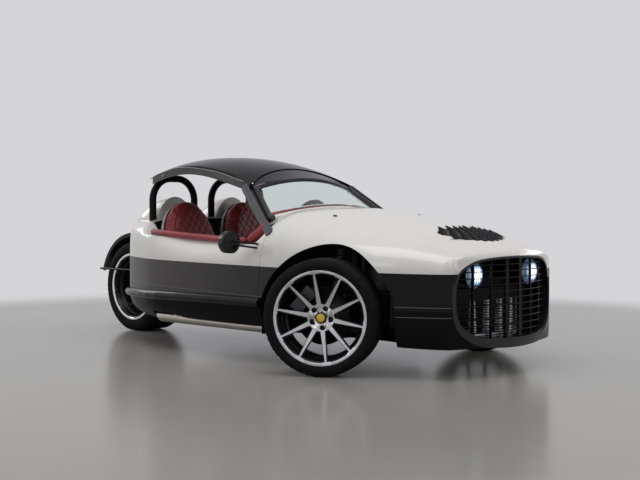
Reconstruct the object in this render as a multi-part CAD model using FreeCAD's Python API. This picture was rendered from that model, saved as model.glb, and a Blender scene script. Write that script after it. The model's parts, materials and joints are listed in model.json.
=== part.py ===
import FreeCAD, Part
import math
import os
from FreeCAD import Base

# Three wheeled car: two steered wheels in front, one driven-through wheel behind, an open two seat cockpit.
# All lengths are in millimetres. +X points forward, +Y to the left, +Z up, and the ground is z = 0.

# Whole car
wheelbase = 2550.0
front_overhang = 780.0
rear_overhang = 383.0
front_axle_x = (wheelbase + front_overhang + rear_overhang) / 2 - front_overhang
rear_axle_x = front_axle_x - wheelbase
lip_proud = 6.0
nose_x = front_axle_x + front_overhang - lip_proud
kingpin_y = 700.0
rest_steer_deg = 30.5

# Clearances and overruns used by every cut and seat
seat_gap = 0.3
running_gap = 5.0
cut_overrun = 400.0
pin_gap = 0.3

# Body shell
body_half_width = 700.0
body_height = 920.0
body_tail_ahead = 240.0
body_tail_x = rear_axle_x + body_tail_ahead
shell_wall = 9.0
paint_line_front_z = 562.0
paint_line_rear_z = 583.0
ridge_z = 350.0
body_length = nose_x - body_tail_x

# Each row: place along the body, half width, crown height, fullness of the top curve, half width of the sill
# as a share of the body's there, height of the sill as a share of the body's height, ridge height share
hull_station_shares = [
    (0.000, 0.215, 0.905, 4.2, 0.80, 0.370, 0.94),
    (0.016, 0.420, 0.912, 4.2, 0.84, 0.330, 0.94),
    (0.034, 0.560, 0.915, 4.4, 0.87, 0.295, 0.94),
    (0.054, 0.645, 0.918, 4.6, 0.88, 0.265, 0.95),
    (0.092, 0.742, 0.920, 4.6, 0.86, 0.232, 0.96),
    (0.141, 0.830, 0.920, 4.4, 0.84, 0.208, 0.97),
    (0.205, 0.920, 0.920, 3.6, 0.82, 0.195, 0.98),
    (0.280, 0.965, 0.925, 2.4, 0.81, 0.186, 1.00),
    (0.430, 1.000, 0.940, 1.95, 0.80, 0.180, 1.02),
    (0.530, 1.000, 0.985, 2.25, 0.80, 0.180, 1.02),
    (0.575, 1.000, 0.998, 2.75, 0.81, 0.182, 1.02),
    (0.650, 1.000, 0.978, 2.70, 0.83, 0.185, 1.01),
    (0.748, 0.990, 0.936, 2.55, 0.90, 0.190, 1.00),
    (0.835, 0.945, 0.888, 2.50, 0.95, 0.190, 0.99),
    (0.900, 0.845, 0.838, 2.50, 0.955, 0.182, 0.98),
    (0.955, 0.720, 0.780, 2.45, 0.95, 0.178, 0.97),
    (1.010, 0.580, 0.715, 2.40, 0.94, 0.176, 0.96),
]
top_curve_points = 9
tuck_curve_points = 4
inner_top_points = 25
inner_tuck_points = 7

# Nose: a plan arc with a rolled top edge
nose_radius = 1100.0
nose_roll_height = 115.0
nose_roll_depth = 230.0
nose_edge_z = 628.0
nose_roll_rise_share = 0.50
nose_roll_back_share = 0.35
nose_roll_top_share = 0.75

# Grille mouth, an outline that is fuller below than above
mouth_half_width = 432.0
mouth_top_z = 640.0
mouth_bottom_z = 205.0
mouth_mid_z = 430.0
mouth_upper_fullness_share = 3.4
mouth_lower_fullness_share = 3.2
mouth_curve_points = 9
surround_wall = 12.0
surround_depth = 70.0
lip_drop = 50.0
lip_flare = 26.0
bar_count = 11
bar_height = 5.0
bar_depth = 14.0
bar_setback = 22.0
slat_count = 6
slat_width = 7.0
wide_slat_width = 26.0
wide_slat_y = 62.0
fin_count = 5
fin_pitch = 108.0
fin_base_width = 46.0
fin_tip_width = 14.0
fin_height = 190.0
fin_depth = 26.0
fin_setback = 110.0
fin_bar_height = 16.0
lamp_y = 272.0
lamp_z = 550.0
lamp_radius = 72.0
lamp_depth = 90.0
lamp_setback = 64.0
lamp_bezel = 8.0
lamp_rear_share = 0.55
lamp_dish_share = 0.7
lamp_eye_circle = 30.0
lamp_eye_radius = 18.0
lamp_eye_length = 24.0
radiator_bottom_z = 205.0
radiator_top_z = 470.0
radiator_depth = 48.0
radiator_setback = 190.0

# Front wheel arch seen from the side: short in front, longer behind, straight down below
arch_front_reach = 417.0
arch_rear_reach = 540.0
arch_top_z = 714.0
arch_centre_z = 330.0
arch_front_round_share = 0.55
arch_rear_round_share = 0.46
arch_inner_y = 452.0
gap_behind_arch = 552.0
gap_lean = 40.0
panel_gap = 3.0

# Cockpit cut: its edge line seen from the side, as places ahead of the rear axle and heights
cockpit_rear_ahead = 872.0
cockpit_rear_x = rear_axle_x + cockpit_rear_ahead
cockpit_front_behind = 635.0
cockpit_front_x = front_axle_x - cockpit_front_behind
rail_front_behind = 540.0
rail_front_x = front_axle_x - rail_front_behind
rail_rear_z = 736.0
rail_mid_z = 708.0
rail_low_z = 697.0
rail_front_z = 815.0
pillar_foot_y = 535.0
recess_half_width = 468.0

# Black ridge along the sills
rocker_radius = 30.0
rocker_proud = 3.0
rocker_lift = 2.0
rocker_ring_count = 14
rocker_first_station = 3
rocker_last_station = 12

# Padded coaming along each side of the cockpit
coaming_radius = 19.0
coaming_inset = 8.0
coaming_ring_count = 9

# Head fairings behind the seats
fairing_y = 260.0
fairing_half_width = 154.0
fairing_front_ahead = 672.0
fairing_front_x = rear_axle_x + fairing_front_ahead
fairing_length = 350.0
fairing_top_z = 988.0
fairing_foot_z = 800.0
# Each row: place along the fairing from the front, height above its foot, half width
fairing_station_shares = [(0.0, 1.0, 1.0), (0.30, 0.93, 0.97), (0.60, 0.75, 0.86), (0.85, 0.46, 0.66),
                          (1.0, 0.24, 0.45)]
fairing_curve_points = 9

# Rear wheel well in the tail
well_radius = 408.0
well_half_width = 215.0
well_wall = 5.0
well_back_share = 0.2

# Roof panel
roof_crown_z = 1253.0
roof_edge_drop = 48.0
roof_wall = 7.0
roof_rear_ahead = 640.0
roof_rear_x = rear_axle_x + roof_rear_ahead
roof_length = 1075.0
# Each row: place from the rear, crown height, edge height, half width, all shares of the roof's own sizes
roof_station_shares = [(0.0, 0.972, 0.886, 0.93), (0.14, 0.990, 0.912, 1.0), (0.36, 1.0, 0.939, 1.02),
                       (0.66, 0.976, 0.913, 1.0), (0.90, 0.925, 0.858, 0.97), (1.0, 0.893, 0.834, 0.94)]
roof_half_width = 482.0
roof_mid_share = 0.5
roof_open_stretch_share = 1.06
roof_edge_lead = 62.0

# Windscreen
screen_base_behind = 637.0
screen_base_x = front_axle_x - screen_base_behind
screen_base_lead = 62.0
screen_base_z = 908.0
screen_base_drop = 60.0
screen_base_half_width = 528.0
screen_top_behind = 878.0
screen_top_x = front_axle_x - screen_top_behind
screen_top_lead = 30.0
screen_top_z = 1092.0
screen_top_drop = 62.0
screen_top_half_width = 428.0
screen_frame_radius = 15.0
screen_pillar_radius = 22.0
screen_corner_swell = 1.5
glass_wall = 6.0

# Flat plates outside the windscreen's sides, from the roof's corners to the body's shoulders
plate_top_behind = 911.5
plate_top_y = 484.0
plate_top_z = 1035.0
plate_foot_behind = 546.5
plate_foot_y = 625.0
plate_foot_z = 765.0
plate_width = 52.0
plate_wall = 12.0

# Roll hoops
hoop_ahead = 655.0
hoop_x = rear_axle_x + hoop_ahead
hoop_inner_y = 78.0
hoop_outer_y = 440.0
hoop_top_z = 1112.0
hoop_foot_z = 700.0
hoop_radius = 24.0
hoop_bend = 150.0
roof_post_radius = 11.0

# Mirrors
mirror_behind = 675.0
mirror_x = front_axle_x - mirror_behind
mirror_y = 820.0
mirror_z = 712.0
mirror_radius = 66.0
mirror_depth = 46.0
mirror_stalk_radius = 6.0
mirror_foot_behind = 577.0
mirror_foot_x = front_axle_x - mirror_foot_behind
mirror_foot_z = 688.0
mirror_stalk_gap = 24.0

# Hood vent
vent_ahead = 455.0
vent_x = front_axle_x + vent_ahead
vent_length = 430.0
vent_half_width = 235.0
vent_lift = 6.0
vent_curve_points = 11
scale_row_count = 7
scale_pitch = 50.0
scale_length = 44.0
scale_width = 58.0
scale_overhang = 20.0
scale_rise = 26.0
scale_sink = 5.0
scale_tail_share = 0.5

# Cockpit inside
floor_wall = 10.0
floor_z = 206.0
floor_half_width = 545.0
floor_rear_ahead = 680.0
floor_rear_x = rear_axle_x + floor_rear_ahead
floor_front_behind = 560.0
floor_front_x = front_axle_x - floor_front_behind
bulkhead_x = floor_rear_x
bulkhead_wall = 12.0
firewall_wall = 6.0
subframe_rear_x = floor_front_x + firewall_wall + seat_gap
dash_rear_behind = 745.0
dash_rear_x = front_axle_x - dash_rear_behind
dash_depth = 180.0
dash_top_z = 868.0
dash_bottom_z = 640.0
dash_half_width = 520.0
dash_round = 60.0
console_half_width = 40.0
console_height = 215.0
console_round = 25.0

# Seats
seat_y = 262.0
seat_width = 436.0
seat_cushion_depth = 480.0
seat_cushion_height = 89.0
seat_cushion_tilt_deg = 9.0
seat_front_behind = 1060.0
seat_front_x = front_axle_x - seat_front_behind
seat_front_z = 372.0
seat_back_length = 620.0
seat_back_wall = 120.0
seat_back_tilt_deg = 17.0
seat_back_foot_z = 372.0
seat_back_foot_behind = 1545.0
seat_back_foot_x = front_axle_x - seat_back_foot_behind
seat_round = 42.0
seat_shoulder_share = 0.52
seat_panel_wall = 12.0
seat_panel_top_z = 700.0
plinth_inset = 30.0

# Steering wheel and column
column_behind = 1096.5
column_x = front_axle_x - column_behind
column_y = 270.0
column_z = 795.0
column_tilt_deg = 19.0
column_length = 400.0
steering_rim_radius = 165.0
steering_grip_radius = 14.0
steering_grip_sides = 10
steering_hub_radius = 42.0
steering_hub_depth = 38.0
steering_spoke_width = 30.0
steering_spoke_wall = 8.0
column_radius = 18.0

# Front wheels
tyre_shoulder_drop = 12.0
tyre_shoulder_tuck = 4.0
tyre_tread_tuck = 20.0
tyre_bead_lift = 3.0
front_tyre_radius = 320.0
front_tyre_width = 225.0
front_flange_radius = 258.0
front_wheel_y = 760.0
rear_tyre_radius = 328.0
rear_tyre_width = 285.0
rear_flange_radius = 246.0

# Rims, brake discs and hubs
rim_wall = 9.0
rim_tuck = 8.0
rim_drop = 18.0
rim_seat_width = 46.0
rim_lip_height = 10.0
spoke_back_share = 0.8
spoke_phase_deg = 188.5
spoke_root_sink = 1.0
spoke_tip_setback = 2.0
spoke_tip_drop = 3.0
spoke_trim_share = 0.75
rim_flange_height = 17.0
rim_flange_wall = 8.0
spoke_count = 10
spoke_root_radius = 66.0
spoke_root_width = 38.0
spoke_neck_radius = 105.0
spoke_neck_width = 31.0
spoke_tip_width = 17.0
spoke_hub_wall = 34.0
spoke_tip_wall = 24.0
hub_pad_radius = 78.0
hub_face = 40.0
hub_cap_radius = 27.0
hub_cap_wall = 8.0
lug_count = 5
lug_circle_radius = 56.0
lug_pocket_radius = 12.0
lug_pocket_depth = 14.0
lug_nut_radius = 9.5
lug_nut_setback = 4.0
hub_cap_gap = 2.0
hub_cap_proud = 3.0
disc_radius = 152.0
disc_wall = 24.0
disc_hat_radius = 82.0
disc_hat_wall = 8.0
disc_inner_reach = 56.0
rear_hub_setback = 60.0
rear_spoke_lean = 60.0

# Knuckles: a housing round the axle, an upright with two lugs, a steering arm and a brake caliper
housing_radius = 64.0
housing_bore_radius = 52.0
housing_inner_reach = 26.0
housing_outer_reach = 48.0
housing_neck_radius = 56.0
bearing_bore_radius = 36.0
bearing_start = 52.0
bearing_length = 24.0
joint_ball_radius = 45.0
shaft_radius = 12.0
ball_pin_radius = 9.0
lower_arm_z = 200.0
upper_arm_z = 458.0
lug_height = 30.0
lug_half_size = 20.0
lug_gap = 18.0
upright_width = 60.0
upright_wall = 22.0
steering_arm_reach = 130.0
steering_arm_width = 26.0
steering_arm_wall = 16.0
steering_arm_z = 284.0
caliper_length = 150.0
caliper_wall = 20.0
caliper_inner_wall = 25.0
caliper_outer_wall = 9.0
caliper_clearance = 6.0
caliper_reach = 46.0
caliper_angle_deg = 140.0

# Suspension and subframe
arm_tube_radius = 13.0
arm_spread = 150.0
upper_arm_spread = 215.0
arm_pivot_radius = 20.0
arm_pivot_length = 46.0
lower_pivot_z = 215.0
upper_pivot_z = 430.0
arm_boss_radius = 17.0
arm_boss_height = 24.0
subframe_y = 385.0
subframe_tube = 40.0
subframe_front_ahead = 610.0
subframe_front_x = front_axle_x + subframe_front_ahead
subframe_low_z = 197.0
subframe_high_z = 410.0
tower_top_z = 748.0
coil_foot_y = 590.0
coil_foot_lift = 18.0
coil_top_y = 492.0
coil_spring_radius = 32.0
coil_body_radius = 22.0
coil_rod_radius = 9.0
coil_turns = 7
coil_eye_half = 18.0
coil_start_share = 0.34
coil_end_share = 0.9
coil_body_share = 0.6
tower_plate_wall = 8.0
coil_wire_radius = 6.0

# Engine and gearbox as one plain block
engine_ahead = 125.0
engine_x = front_axle_x + engine_ahead
engine_length = 400.0
engine_half_width = 330.0
engine_bottom_z = 235.0
engine_top_z = 640.0

# Steering rack with tie rods
rack_radius = 19.0
rack_bar_radius = 11.0
rack_half_length = 330.0
rack_housing_half = 230.0
rack_z = 255.0
tie_rod_radius = 8.0
tie_eye_radius = 14.0
tie_eye_wall = 14.0

# Exhausts under the sills
exhaust_radius = 29.0
exhaust_wall = 2.5
exhaust_y = 622.0
exhaust_z = 203.0
exhaust_rear_ahead = 950.0
exhaust_rear_x = rear_axle_x + exhaust_rear_ahead
exhaust_front_behind = 430.0
exhaust_front_x = front_axle_x - exhaust_front_behind
exhaust_slash = 46.0
exhaust_channel_gap = 6.0
exhaust_hanger_length = 20.0
exhaust_hanger_inset = 190.0

# Swingarm, rear axle, shock and mudguard
swingarm_y = 178.0
swingarm_tube = 44.0
swingarm_pivot_ahead = 500.0
swingarm_pivot_x = rear_axle_x + swingarm_pivot_ahead
swingarm_pivot_z = 300.0
swingarm_pivot_radius = 32.0
pivot_plate_wall = 10.0
pivot_plate_margin = 14.0
rear_hub_radius = 62.0
rear_axle_radius = 24.0
rear_bore_radius = 14.0
rear_axle_reach = 20.0
shock_place_share = 0.35
shock_radius = 30.0
shock_top_z = 640.0
shock_overrun = 120.0
guard_wall = 6.0
guard_half_width = 126.0
guard_start_deg = 128.0
guard_tip_deg = 16.0
guard_radius = rear_overhang / math.cos(math.radians(guard_tip_deg))
guard_skirt = 26.0
stay_radius = 7.0
stay_y = 165.0
stay_drop = 14.0
tail_lamp_radius = 14.0
tail_lamp_length = 25.0
tail_lamp_offset = 15.0
jack_pad_behind = 776.5
jack_pad_x = front_axle_x - jack_pad_behind
jack_pad_y = 430.0
jack_pad_z = 150.0
jack_pad_radius = 30.0

os.makedirs("parts", exist_ok=True)
nodes = {}


def vec(x, y, z):
    return Base.Vector(x, y, z)


def box(x0, x1, y0, y1, z0, z1):
    return Part.makeBox(x1 - x0, y1 - y0, z1 - z0, vec(x0, y0, z0))


def rod(start, end, radius):
    return Part.makeCylinder(radius, (end - start).Length, start, end - start)


def upright_cylinder(x, y, z0, z1, radius):
    return Part.makeCylinder(radius, z1 - z0, vec(x, y, z0), vec(0, 0, 1))


def cross_cylinder(x, z, y0, y1, radius):
    return Part.makeCylinder(radius, y1 - y0, vec(x, y0, z), vec(0, 1, 0))


def fused(shapes):
    whole = shapes[0]
    if len(shapes) > 1:
        whole = shapes[0].multiFuse(shapes[1:])
    return whole.removeSplitter()


def mirrored(shape):
    return shape.mirror(vec(0, 0, 0), vec(0, 1, 0))


def both_sides(shape):
    return Part.makeCompound([shape, mirrored(shape)])


def prism(points, direction):
    return Part.Face(Part.makePolygon(points + [points[0]])).extrude(direction)


def smooth_edge(points):
    count = len(points)
    curve = Part.BSplineCurve()
    curve.interpolate(Points=points, Parameters=[i / (count - 1) for i in range(count)])
    return curve.toShape()


def power(value, exponent):
    return math.copysign(abs(value) ** exponent, value)


def bent_tube(points, radius, bend):
    """A tube along straight runs joined by tangent arcs of one bend radius."""
    edges = []
    start = points[0]
    for before, corner, after in zip(points, points[1:], points[2:]):
        arriving = (corner - before).normalize()
        leaving = (after - corner).normalize()
        half_turn = math.acos(max(-1.0, min(1.0, arriving.dot(leaving)))) / 2
        setback = bend * math.tan(half_turn)
        arc_start = corner - arriving * setback
        arc_end = corner + leaving * setback
        inward = (leaving - arriving).normalize()
        middle = corner + inward * (bend / math.cos(half_turn) - bend)
        edges.append(Part.LineSegment(start, arc_start).toShape())
        edges.append(Part.Arc(arc_start, middle, arc_end).toShape())
        start = arc_end
    edges.append(Part.LineSegment(start, points[-1]).toShape())
    path = Part.Wire(edges)
    profile = Part.Wire([Part.Circle(points[0], points[1] - points[0], radius).toShape()])
    return path.makePipeShell([profile], True, True)


def tapered_run(points, radius, count):
    """A rounded rail: circles square to a smooth line through the points, joined by straight-ruled faces."""
    line = smooth_edge(points).Curve
    first = line.FirstParameter
    span = line.LastParameter - first
    wires = []
    for i in range(count):
        place = first + span * i / (count - 1)
        wires.append(Part.Wire([Part.Circle(line.value(place), line.tangent(place)[0], radius).toShape()]))
    return Part.makeLoft(wires, True, True)


# Body shell

def paint_line_z(x):
    share = (x - body_tail_x) / body_length
    return paint_line_rear_z + (paint_line_front_z - paint_line_rear_z) * share


def hull_section(row, inset, smooth):
    """One closed section: a superellipse arch on the paint line, straight flanks, tucked sills, flat belly."""
    place, wide_share, crown_share, fullness, tuck_share, sill_share, ridge_share = row
    x = body_tail_x + body_length * place
    half_width = body_half_width * wide_share - inset
    line_z = paint_line_z(x)
    arch_height = body_height * crown_share - inset - line_z
    ridge = ridge_z * ridge_share
    sill_half_width = body_half_width * wide_share * tuck_share - inset
    sill_z = body_height * sill_share + inset
    top_count = top_curve_points if smooth else inner_top_points
    tuck_count = tuck_curve_points if smooth else inner_tuck_points
    top = [vec(x, half_width, line_z)]
    for i in range(1, top_count - 1):
        angle = math.pi * i / (top_count - 1)
        y = half_width * power(math.cos(angle), 2 / fullness)
        z = line_z + arch_height * power(math.sin(angle), 2 / fullness)
        top.append(vec(x, y, z))
    top.append(vec(x, -half_width, line_z))
    left_tuck = []
    for i in range(tuck_count):
        angle = math.pi / 2 * i / (tuck_count - 1)
        y = sill_half_width + (half_width - sill_half_width) * math.cos(angle)
        z = ridge - (ridge - sill_z) * math.sin(angle)
        left_tuck.append(vec(x, y, z))
    right_tuck = [vec(p.x, -p.y, p.z) for p in left_tuck]
    if not smooth:
        return Part.makePolygon(top + right_tuck + left_tuck[::-1] + top[:1])
    return Part.Wire([
        smooth_edge(top),
        Part.LineSegment(top[-1], right_tuck[0]).toShape(),
        smooth_edge(right_tuck),
        Part.LineSegment(right_tuck[-1], left_tuck[-1]).toShape(),
        smooth_edge(left_tuck[::-1]),
        Part.LineSegment(left_tuck[0], top[0]).toShape(),
    ])


def nose_form(inset):
    """Everything behind the nose: a profile with a rolled top edge turned about an upright axis."""
    reach = nose_radius - inset
    edge_z = nose_edge_z - inset
    tall = body_height + cut_overrun
    roll_top = vec(reach - nose_roll_depth, 0, edge_z + nose_roll_height)
    roll = Part.BezierCurve()
    risen = vec(reach, 0, edge_z + nose_roll_height * nose_roll_rise_share)
    leaning = vec(reach - nose_roll_depth * nose_roll_back_share, 0, edge_z + nose_roll_height * nose_roll_top_share)
    roll.setPoles([vec(reach, 0, edge_z), risen, leaning, roll_top])
    slope = Part.LineSegment(roll_top, vec(0, 0, tall)).toShape()
    outline = Part.Wire([
        Part.LineSegment(vec(0, 0, -cut_overrun), vec(reach, 0, -cut_overrun)).toShape(),
        Part.LineSegment(vec(reach, 0, -cut_overrun), vec(reach, 0, edge_z)).toShape(),
        roll.toShape(), slope,
        Part.LineSegment(vec(0, 0, tall), vec(0, 0, -cut_overrun)).toShape(),
    ])
    front = Part.Face(outline).revolve(vec(0, 0, 0), vec(0, 0, 1), 360)
    front.translate(vec(nose_x - nose_radius, 0, 0))
    behind = box(body_tail_x - cut_overrun, nose_x - nose_radius, -2 * body_half_width, 2 * body_half_width,
                 -cut_overrun, tall)
    return front.fuse(behind)


def nose_slab(outer_setback, inner_setback):
    """A curved slab between two setbacks behind the nose arc, over the front of the car only."""
    centre_x = nose_x - nose_radius
    outer = upright_cylinder(centre_x, 0, 0, body_height, nose_radius - outer_setback)
    inner = upright_cylinder(centre_x, 0, -cut_overrun, body_height + cut_overrun, nose_radius - inner_setback)
    front = box(centre_x + nose_radius / 2, nose_x + cut_overrun, -body_half_width, body_half_width,
                -cut_overrun, body_height + cut_overrun)
    return outer.cut(inner).common(front)


def mouth_wire(grow_side, grow_top, grow_bottom, x):
    """The closed grille outline in the plane x, grown by the given amounts."""
    half_width = mouth_half_width + grow_side
    rise = mouth_top_z + grow_top - mouth_mid_z
    drop = mouth_mid_z - mouth_bottom_z + grow_bottom
    halves = []
    for height, fullness, sign in ((rise, mouth_upper_fullness_share, 1),
                                   (drop, mouth_lower_fullness_share, -1)):
        points = []
        for i in range(mouth_curve_points):
            angle = math.pi * i / (mouth_curve_points - 1)
            y = sign * half_width * power(math.cos(angle), 2 / fullness)
            z = mouth_mid_z + sign * height * abs(math.sin(angle)) ** (2 / fullness)
            points.append(vec(x, y, z if 0 < i < mouth_curve_points - 1 else mouth_mid_z))
        halves.append(smooth_edge(points))
    return Part.Wire(halves)


def mouth_prism(grow_side, grow_top, grow_bottom):
    start_x = nose_x - nose_radius / 2
    face = Part.Face(mouth_wire(grow_side, grow_top, grow_bottom, start_x))
    return face.extrude(vec(nose_radius, 0, 0))


def arch_quarter(reach, round_share):
    """One rounded quarter of the arch's edge, from its widest place up to its top over the axle."""
    rise = arch_top_z - arch_centre_z
    wide_end = vec(front_axle_x + reach, arch_inner_y, arch_centre_z)
    top = vec(front_axle_x, arch_inner_y, arch_top_z)
    curve = Part.BezierCurve()
    curve.setPoles([wide_end, wide_end + vec(0, 0, rise * round_share),
                    top + vec(reach * round_share, 0, 0), top])
    return curve.toShape()


def arch_cutter():
    """What the front wheels' arches take out of the body, on both sides."""
    front_top = vec(front_axle_x + arch_front_reach, arch_inner_y, arch_centre_z)
    rear_top = vec(front_axle_x - arch_rear_reach, arch_inner_y, arch_centre_z)
    down = vec(0, 0, -arch_centre_z - cut_overrun)
    outline = Part.Wire([
        arch_quarter(arch_front_reach, arch_front_round_share),
        arch_quarter(-arch_rear_reach, arch_rear_round_share),
        Part.LineSegment(rear_top, rear_top + down).toShape(),
        Part.LineSegment(rear_top + down, front_top + down).toShape(),
        Part.LineSegment(front_top + down, front_top).toShape(),
    ])
    return both_sides(Part.Face(outline).extrude(vec(0, 2 * body_half_width, 0)))


def rail_line():
    """The cockpit's edge seen from the side: low amidships, rising to the pillar in front."""
    return [(cockpit_rear_x, rail_rear_z), ((cockpit_rear_x + cockpit_front_x) / 2, rail_mid_z),
            (cockpit_front_x - dash_depth / 2, rail_low_z), (cockpit_front_x, rail_low_z)]


def cockpit_cutter():
    wide = 2 * body_half_width
    tall = body_height + cut_overrun
    rear = [vec(x, -wide, z) for x, z in rail_line()]
    low = smooth_edge(rear)
    top_front = vec(cockpit_front_x, -wide, tall)
    top_rear = vec(cockpit_rear_x, -wide, tall)
    middle = Part.Face(Part.Wire([
        low, Part.LineSegment(rear[-1], top_front).toShape(),
        Part.LineSegment(top_front, top_rear).toShape(), Part.LineSegment(top_rear, rear[0]).toShape(),
    ])).extrude(vec(0, 2 * wide, 0))
    foot = vec(cockpit_front_x, -wide, rail_low_z)
    bend = vec((cockpit_front_x + rail_front_x) / 2, -wide, rail_low_z + (rail_front_z - rail_low_z) / 4)
    head = vec(rail_front_x, -wide, rail_front_z)
    rise = Part.Face(Part.Wire([
        Part.Arc(foot, bend, head).toShape(),
        Part.LineSegment(head, vec(rail_front_x, -wide, tall)).toShape(),
        Part.LineSegment(vec(rail_front_x, -wide, tall), top_front).toShape(),
        Part.LineSegment(top_front, foot).toShape(),
    ])).extrude(vec(0, wide - pillar_foot_y, 0))
    return middle.multiFuse([rise, mirrored(rise)])


def well_form(grow):
    radius = well_radius + grow
    half = well_half_width + grow
    drum = cross_cylinder(rear_axle_x, rear_tyre_radius, -half, half, radius)
    back = box(rear_axle_x - 2 * radius, rear_axle_x + radius * well_back_share, -half, half,
               -cut_overrun, body_height)
    return drum.fuse(back)


def below_paint_line(drop):
    rear = body_tail_x - cut_overrun
    front = nose_x + cut_overrun
    wide = 2 * body_half_width
    return prism([vec(rear, -wide, -cut_overrun), vec(front, -wide, -cut_overrun),
                  vec(front, -wide, paint_line_z(front) - drop), vec(rear, -wide, paint_line_z(rear) - drop)],
                 vec(0, 2 * wide, 0))


def ahead_of_gap(shift):
    """Everything ahead of the slanted panel gap behind the front arch."""
    wide = 2 * body_half_width
    low_x = front_axle_x - gap_behind_arch - gap_lean + shift
    high_x = front_axle_x - gap_behind_arch + gap_lean + shift
    front = nose_x + cut_overrun
    tall = body_height + cut_overrun
    slope = (high_x - low_x) / body_height
    return prism([vec(low_x - slope * cut_overrun, -wide, -cut_overrun), vec(front, -wide, -cut_overrun),
                  vec(front, -wide, tall), vec(high_x + slope * cut_overrun, -wide, tall)],
                 vec(0, 2 * wide, 0))


def seat_recess():
    return box(bulkhead_x, cockpit_rear_x + cut_overrun / 2, -recess_half_width, recess_half_width,
               rail_low_z, body_height + cut_overrun)


def rocker_points(sign):
    points = []
    for row in hull_station_shares[rocker_first_station:rocker_last_station]:
        points.append(vec(body_tail_x + body_length * row[0], sign * (body_half_width * row[1] + rocker_proud),
                          ridge_z * row[6] + rocker_lift))
    return points


def rocker(sign):
    """The rounded black ridge: a tube along the widest line of the sill."""
    return tapered_run(rocker_points(sign), rocker_radius, rocker_ring_count)


def coaming(sign):
    """A padded rail that follows the cockpit's edge on the body side."""
    points = []
    for x, z in rail_line()[:-1]:
        points.append(vec(x + coaming_inset, sign * coaming_y(x, z), z + coaming_radius + seat_gap))
    return tapered_run(points, coaming_radius, coaming_ring_count)


def coaming_y(x, z):
    """Half width of the body at the place x and height z, from the same table as the body."""
    share = (x - body_tail_x) / body_length
    for before, after in zip(hull_station_shares, hull_station_shares[1:]):
        if before[0] <= share <= after[0]:
            blend = (share - before[0]) / (after[0] - before[0])
            row = [a + (b - a) * blend for a, b in zip(before, after)]
    rise = (z - paint_line_z(x)) / (body_height * row[2] - paint_line_z(x))
    return body_half_width * row[1] * (1 - rise ** row[3]) ** (1 / row[3]) - shell_wall / 2


# Roof and windscreen

def roof_section(row, inset, drop, lengthen):
    place, crown_share, edge_share, wide_share = row
    x = roof_rear_x + roof_length * (place - roof_mid_share) * lengthen + roof_length * roof_mid_share
    half_width = roof_half_width * wide_share - inset
    edge_z = roof_crown_z * edge_share - inset
    crown = vec(x, 0, roof_crown_z * crown_share - inset)
    left = vec(x, half_width, edge_z)
    right = vec(x, -half_width, edge_z)
    left_low = vec(x, half_width, edge_z - drop)
    right_low = vec(x, -half_width, edge_z - drop)
    return Part.Wire([
        Part.Arc(left, crown, right).toShape(), Part.LineSegment(right, right_low).toShape(),
        Part.LineSegment(right_low, left_low).toShape(), Part.LineSegment(left_low, left).toShape(),
    ])


def screen_arc(x, lead, z, drop, half_width, inset):
    """A bowed edge of the windscreen, and its copy one glass thickness behind it."""
    front = [vec(x, half_width, z - drop), vec(x + lead, 0, z), vec(x, -half_width, z - drop)]
    chord_middle = (front[0] + front[2]) * 0.5
    inward = (chord_middle - front[1]).normalize() * inset
    return [p + inward for p in front]


def screen_edges():
    base = (screen_base_x, screen_base_lead, screen_base_z, screen_base_drop, screen_base_half_width)
    top = (screen_top_x, screen_top_lead, screen_top_z, screen_top_drop, screen_top_half_width)
    return base, top


def windscreen_blank(wall):
    wires = []
    for edge in screen_edges():
        outer = screen_arc(*edge, -wall / 2)
        inner = screen_arc(*edge, wall / 2)
        wires.append(Part.Wire([
            Part.Arc(*outer).toShape(), Part.LineSegment(outer[2], inner[2]).toShape(),
            Part.Arc(inner[2], inner[1], inner[0]).toShape(), Part.LineSegment(inner[0], outer[0]).toShape(),
        ]))
    return Part.makeLoft(wires, True, True)


def windscreen_tubes():
    """Base, header and both pillars as round tubes with rounded corners."""
    pieces = []
    corners = []
    for edge in screen_edges():
        points = screen_arc(*edge, 0)
        arc = Part.Arc(*points)
        path = Part.Wire([arc.toShape()])
        tangent = arc.tangent(arc.FirstParameter)[0]
        profile = Part.Wire([Part.Circle(points[0], tangent, screen_frame_radius).toShape()])
        pieces.append(path.makePipeShell([profile], True, True))
        corners.append((points[0], points[2]))
    for side in (0, 1):
        pieces.append(rod(corners[0][side], corners[1][side], screen_pillar_radius))
        for pair in corners:
            pieces.append(Part.makeSphere(screen_pillar_radius + screen_corner_swell, pair[side]))
    return fused(pieces)


def pillar_plate():
    """Left plate: a flat bar with round ends, face outwards, that slants down from the roof to the body."""
    top = vec(front_axle_x - plate_top_behind, plate_top_y, plate_top_z)
    foot = vec(front_axle_x - plate_foot_behind, plate_foot_y, plate_foot_z)
    along = (foot - top).normalize()
    outward = vec(0, 1, 0) - along * along.y
    outward.normalize()
    across = outward.cross(along) * (plate_width / 2)
    top = top - outward * (plate_wall / 2)
    foot = foot - outward * (plate_wall / 2)
    end = along * (plate_width / 2)
    outline = Part.Wire([
        Part.LineSegment(top + across, foot + across).toShape(),
        Part.Arc(foot + across, foot + end, foot - across).toShape(),
        Part.LineSegment(foot - across, top - across).toShape(),
        Part.Arc(top - across, top - end, top + across).toShape(),
    ])
    return Part.Face(outline).extrude(outward * plate_wall)


# Wheels, each built about its own centre with the spin axis along Y and its outer face towards +Y

def turned(points_or_edges):
    """A solid of revolution about the spin axis from a closed outline of (radius, across) points."""
    points = [vec(r, y, 0) for r, y in points_or_edges]
    face = Part.Face(Part.makePolygon(points + [points[0]]))
    return face.revolve(vec(0, 0, 0), vec(0, 1, 0), 360)


def rim_half_width(width):
    return width / 2 - rim_tuck


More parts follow.
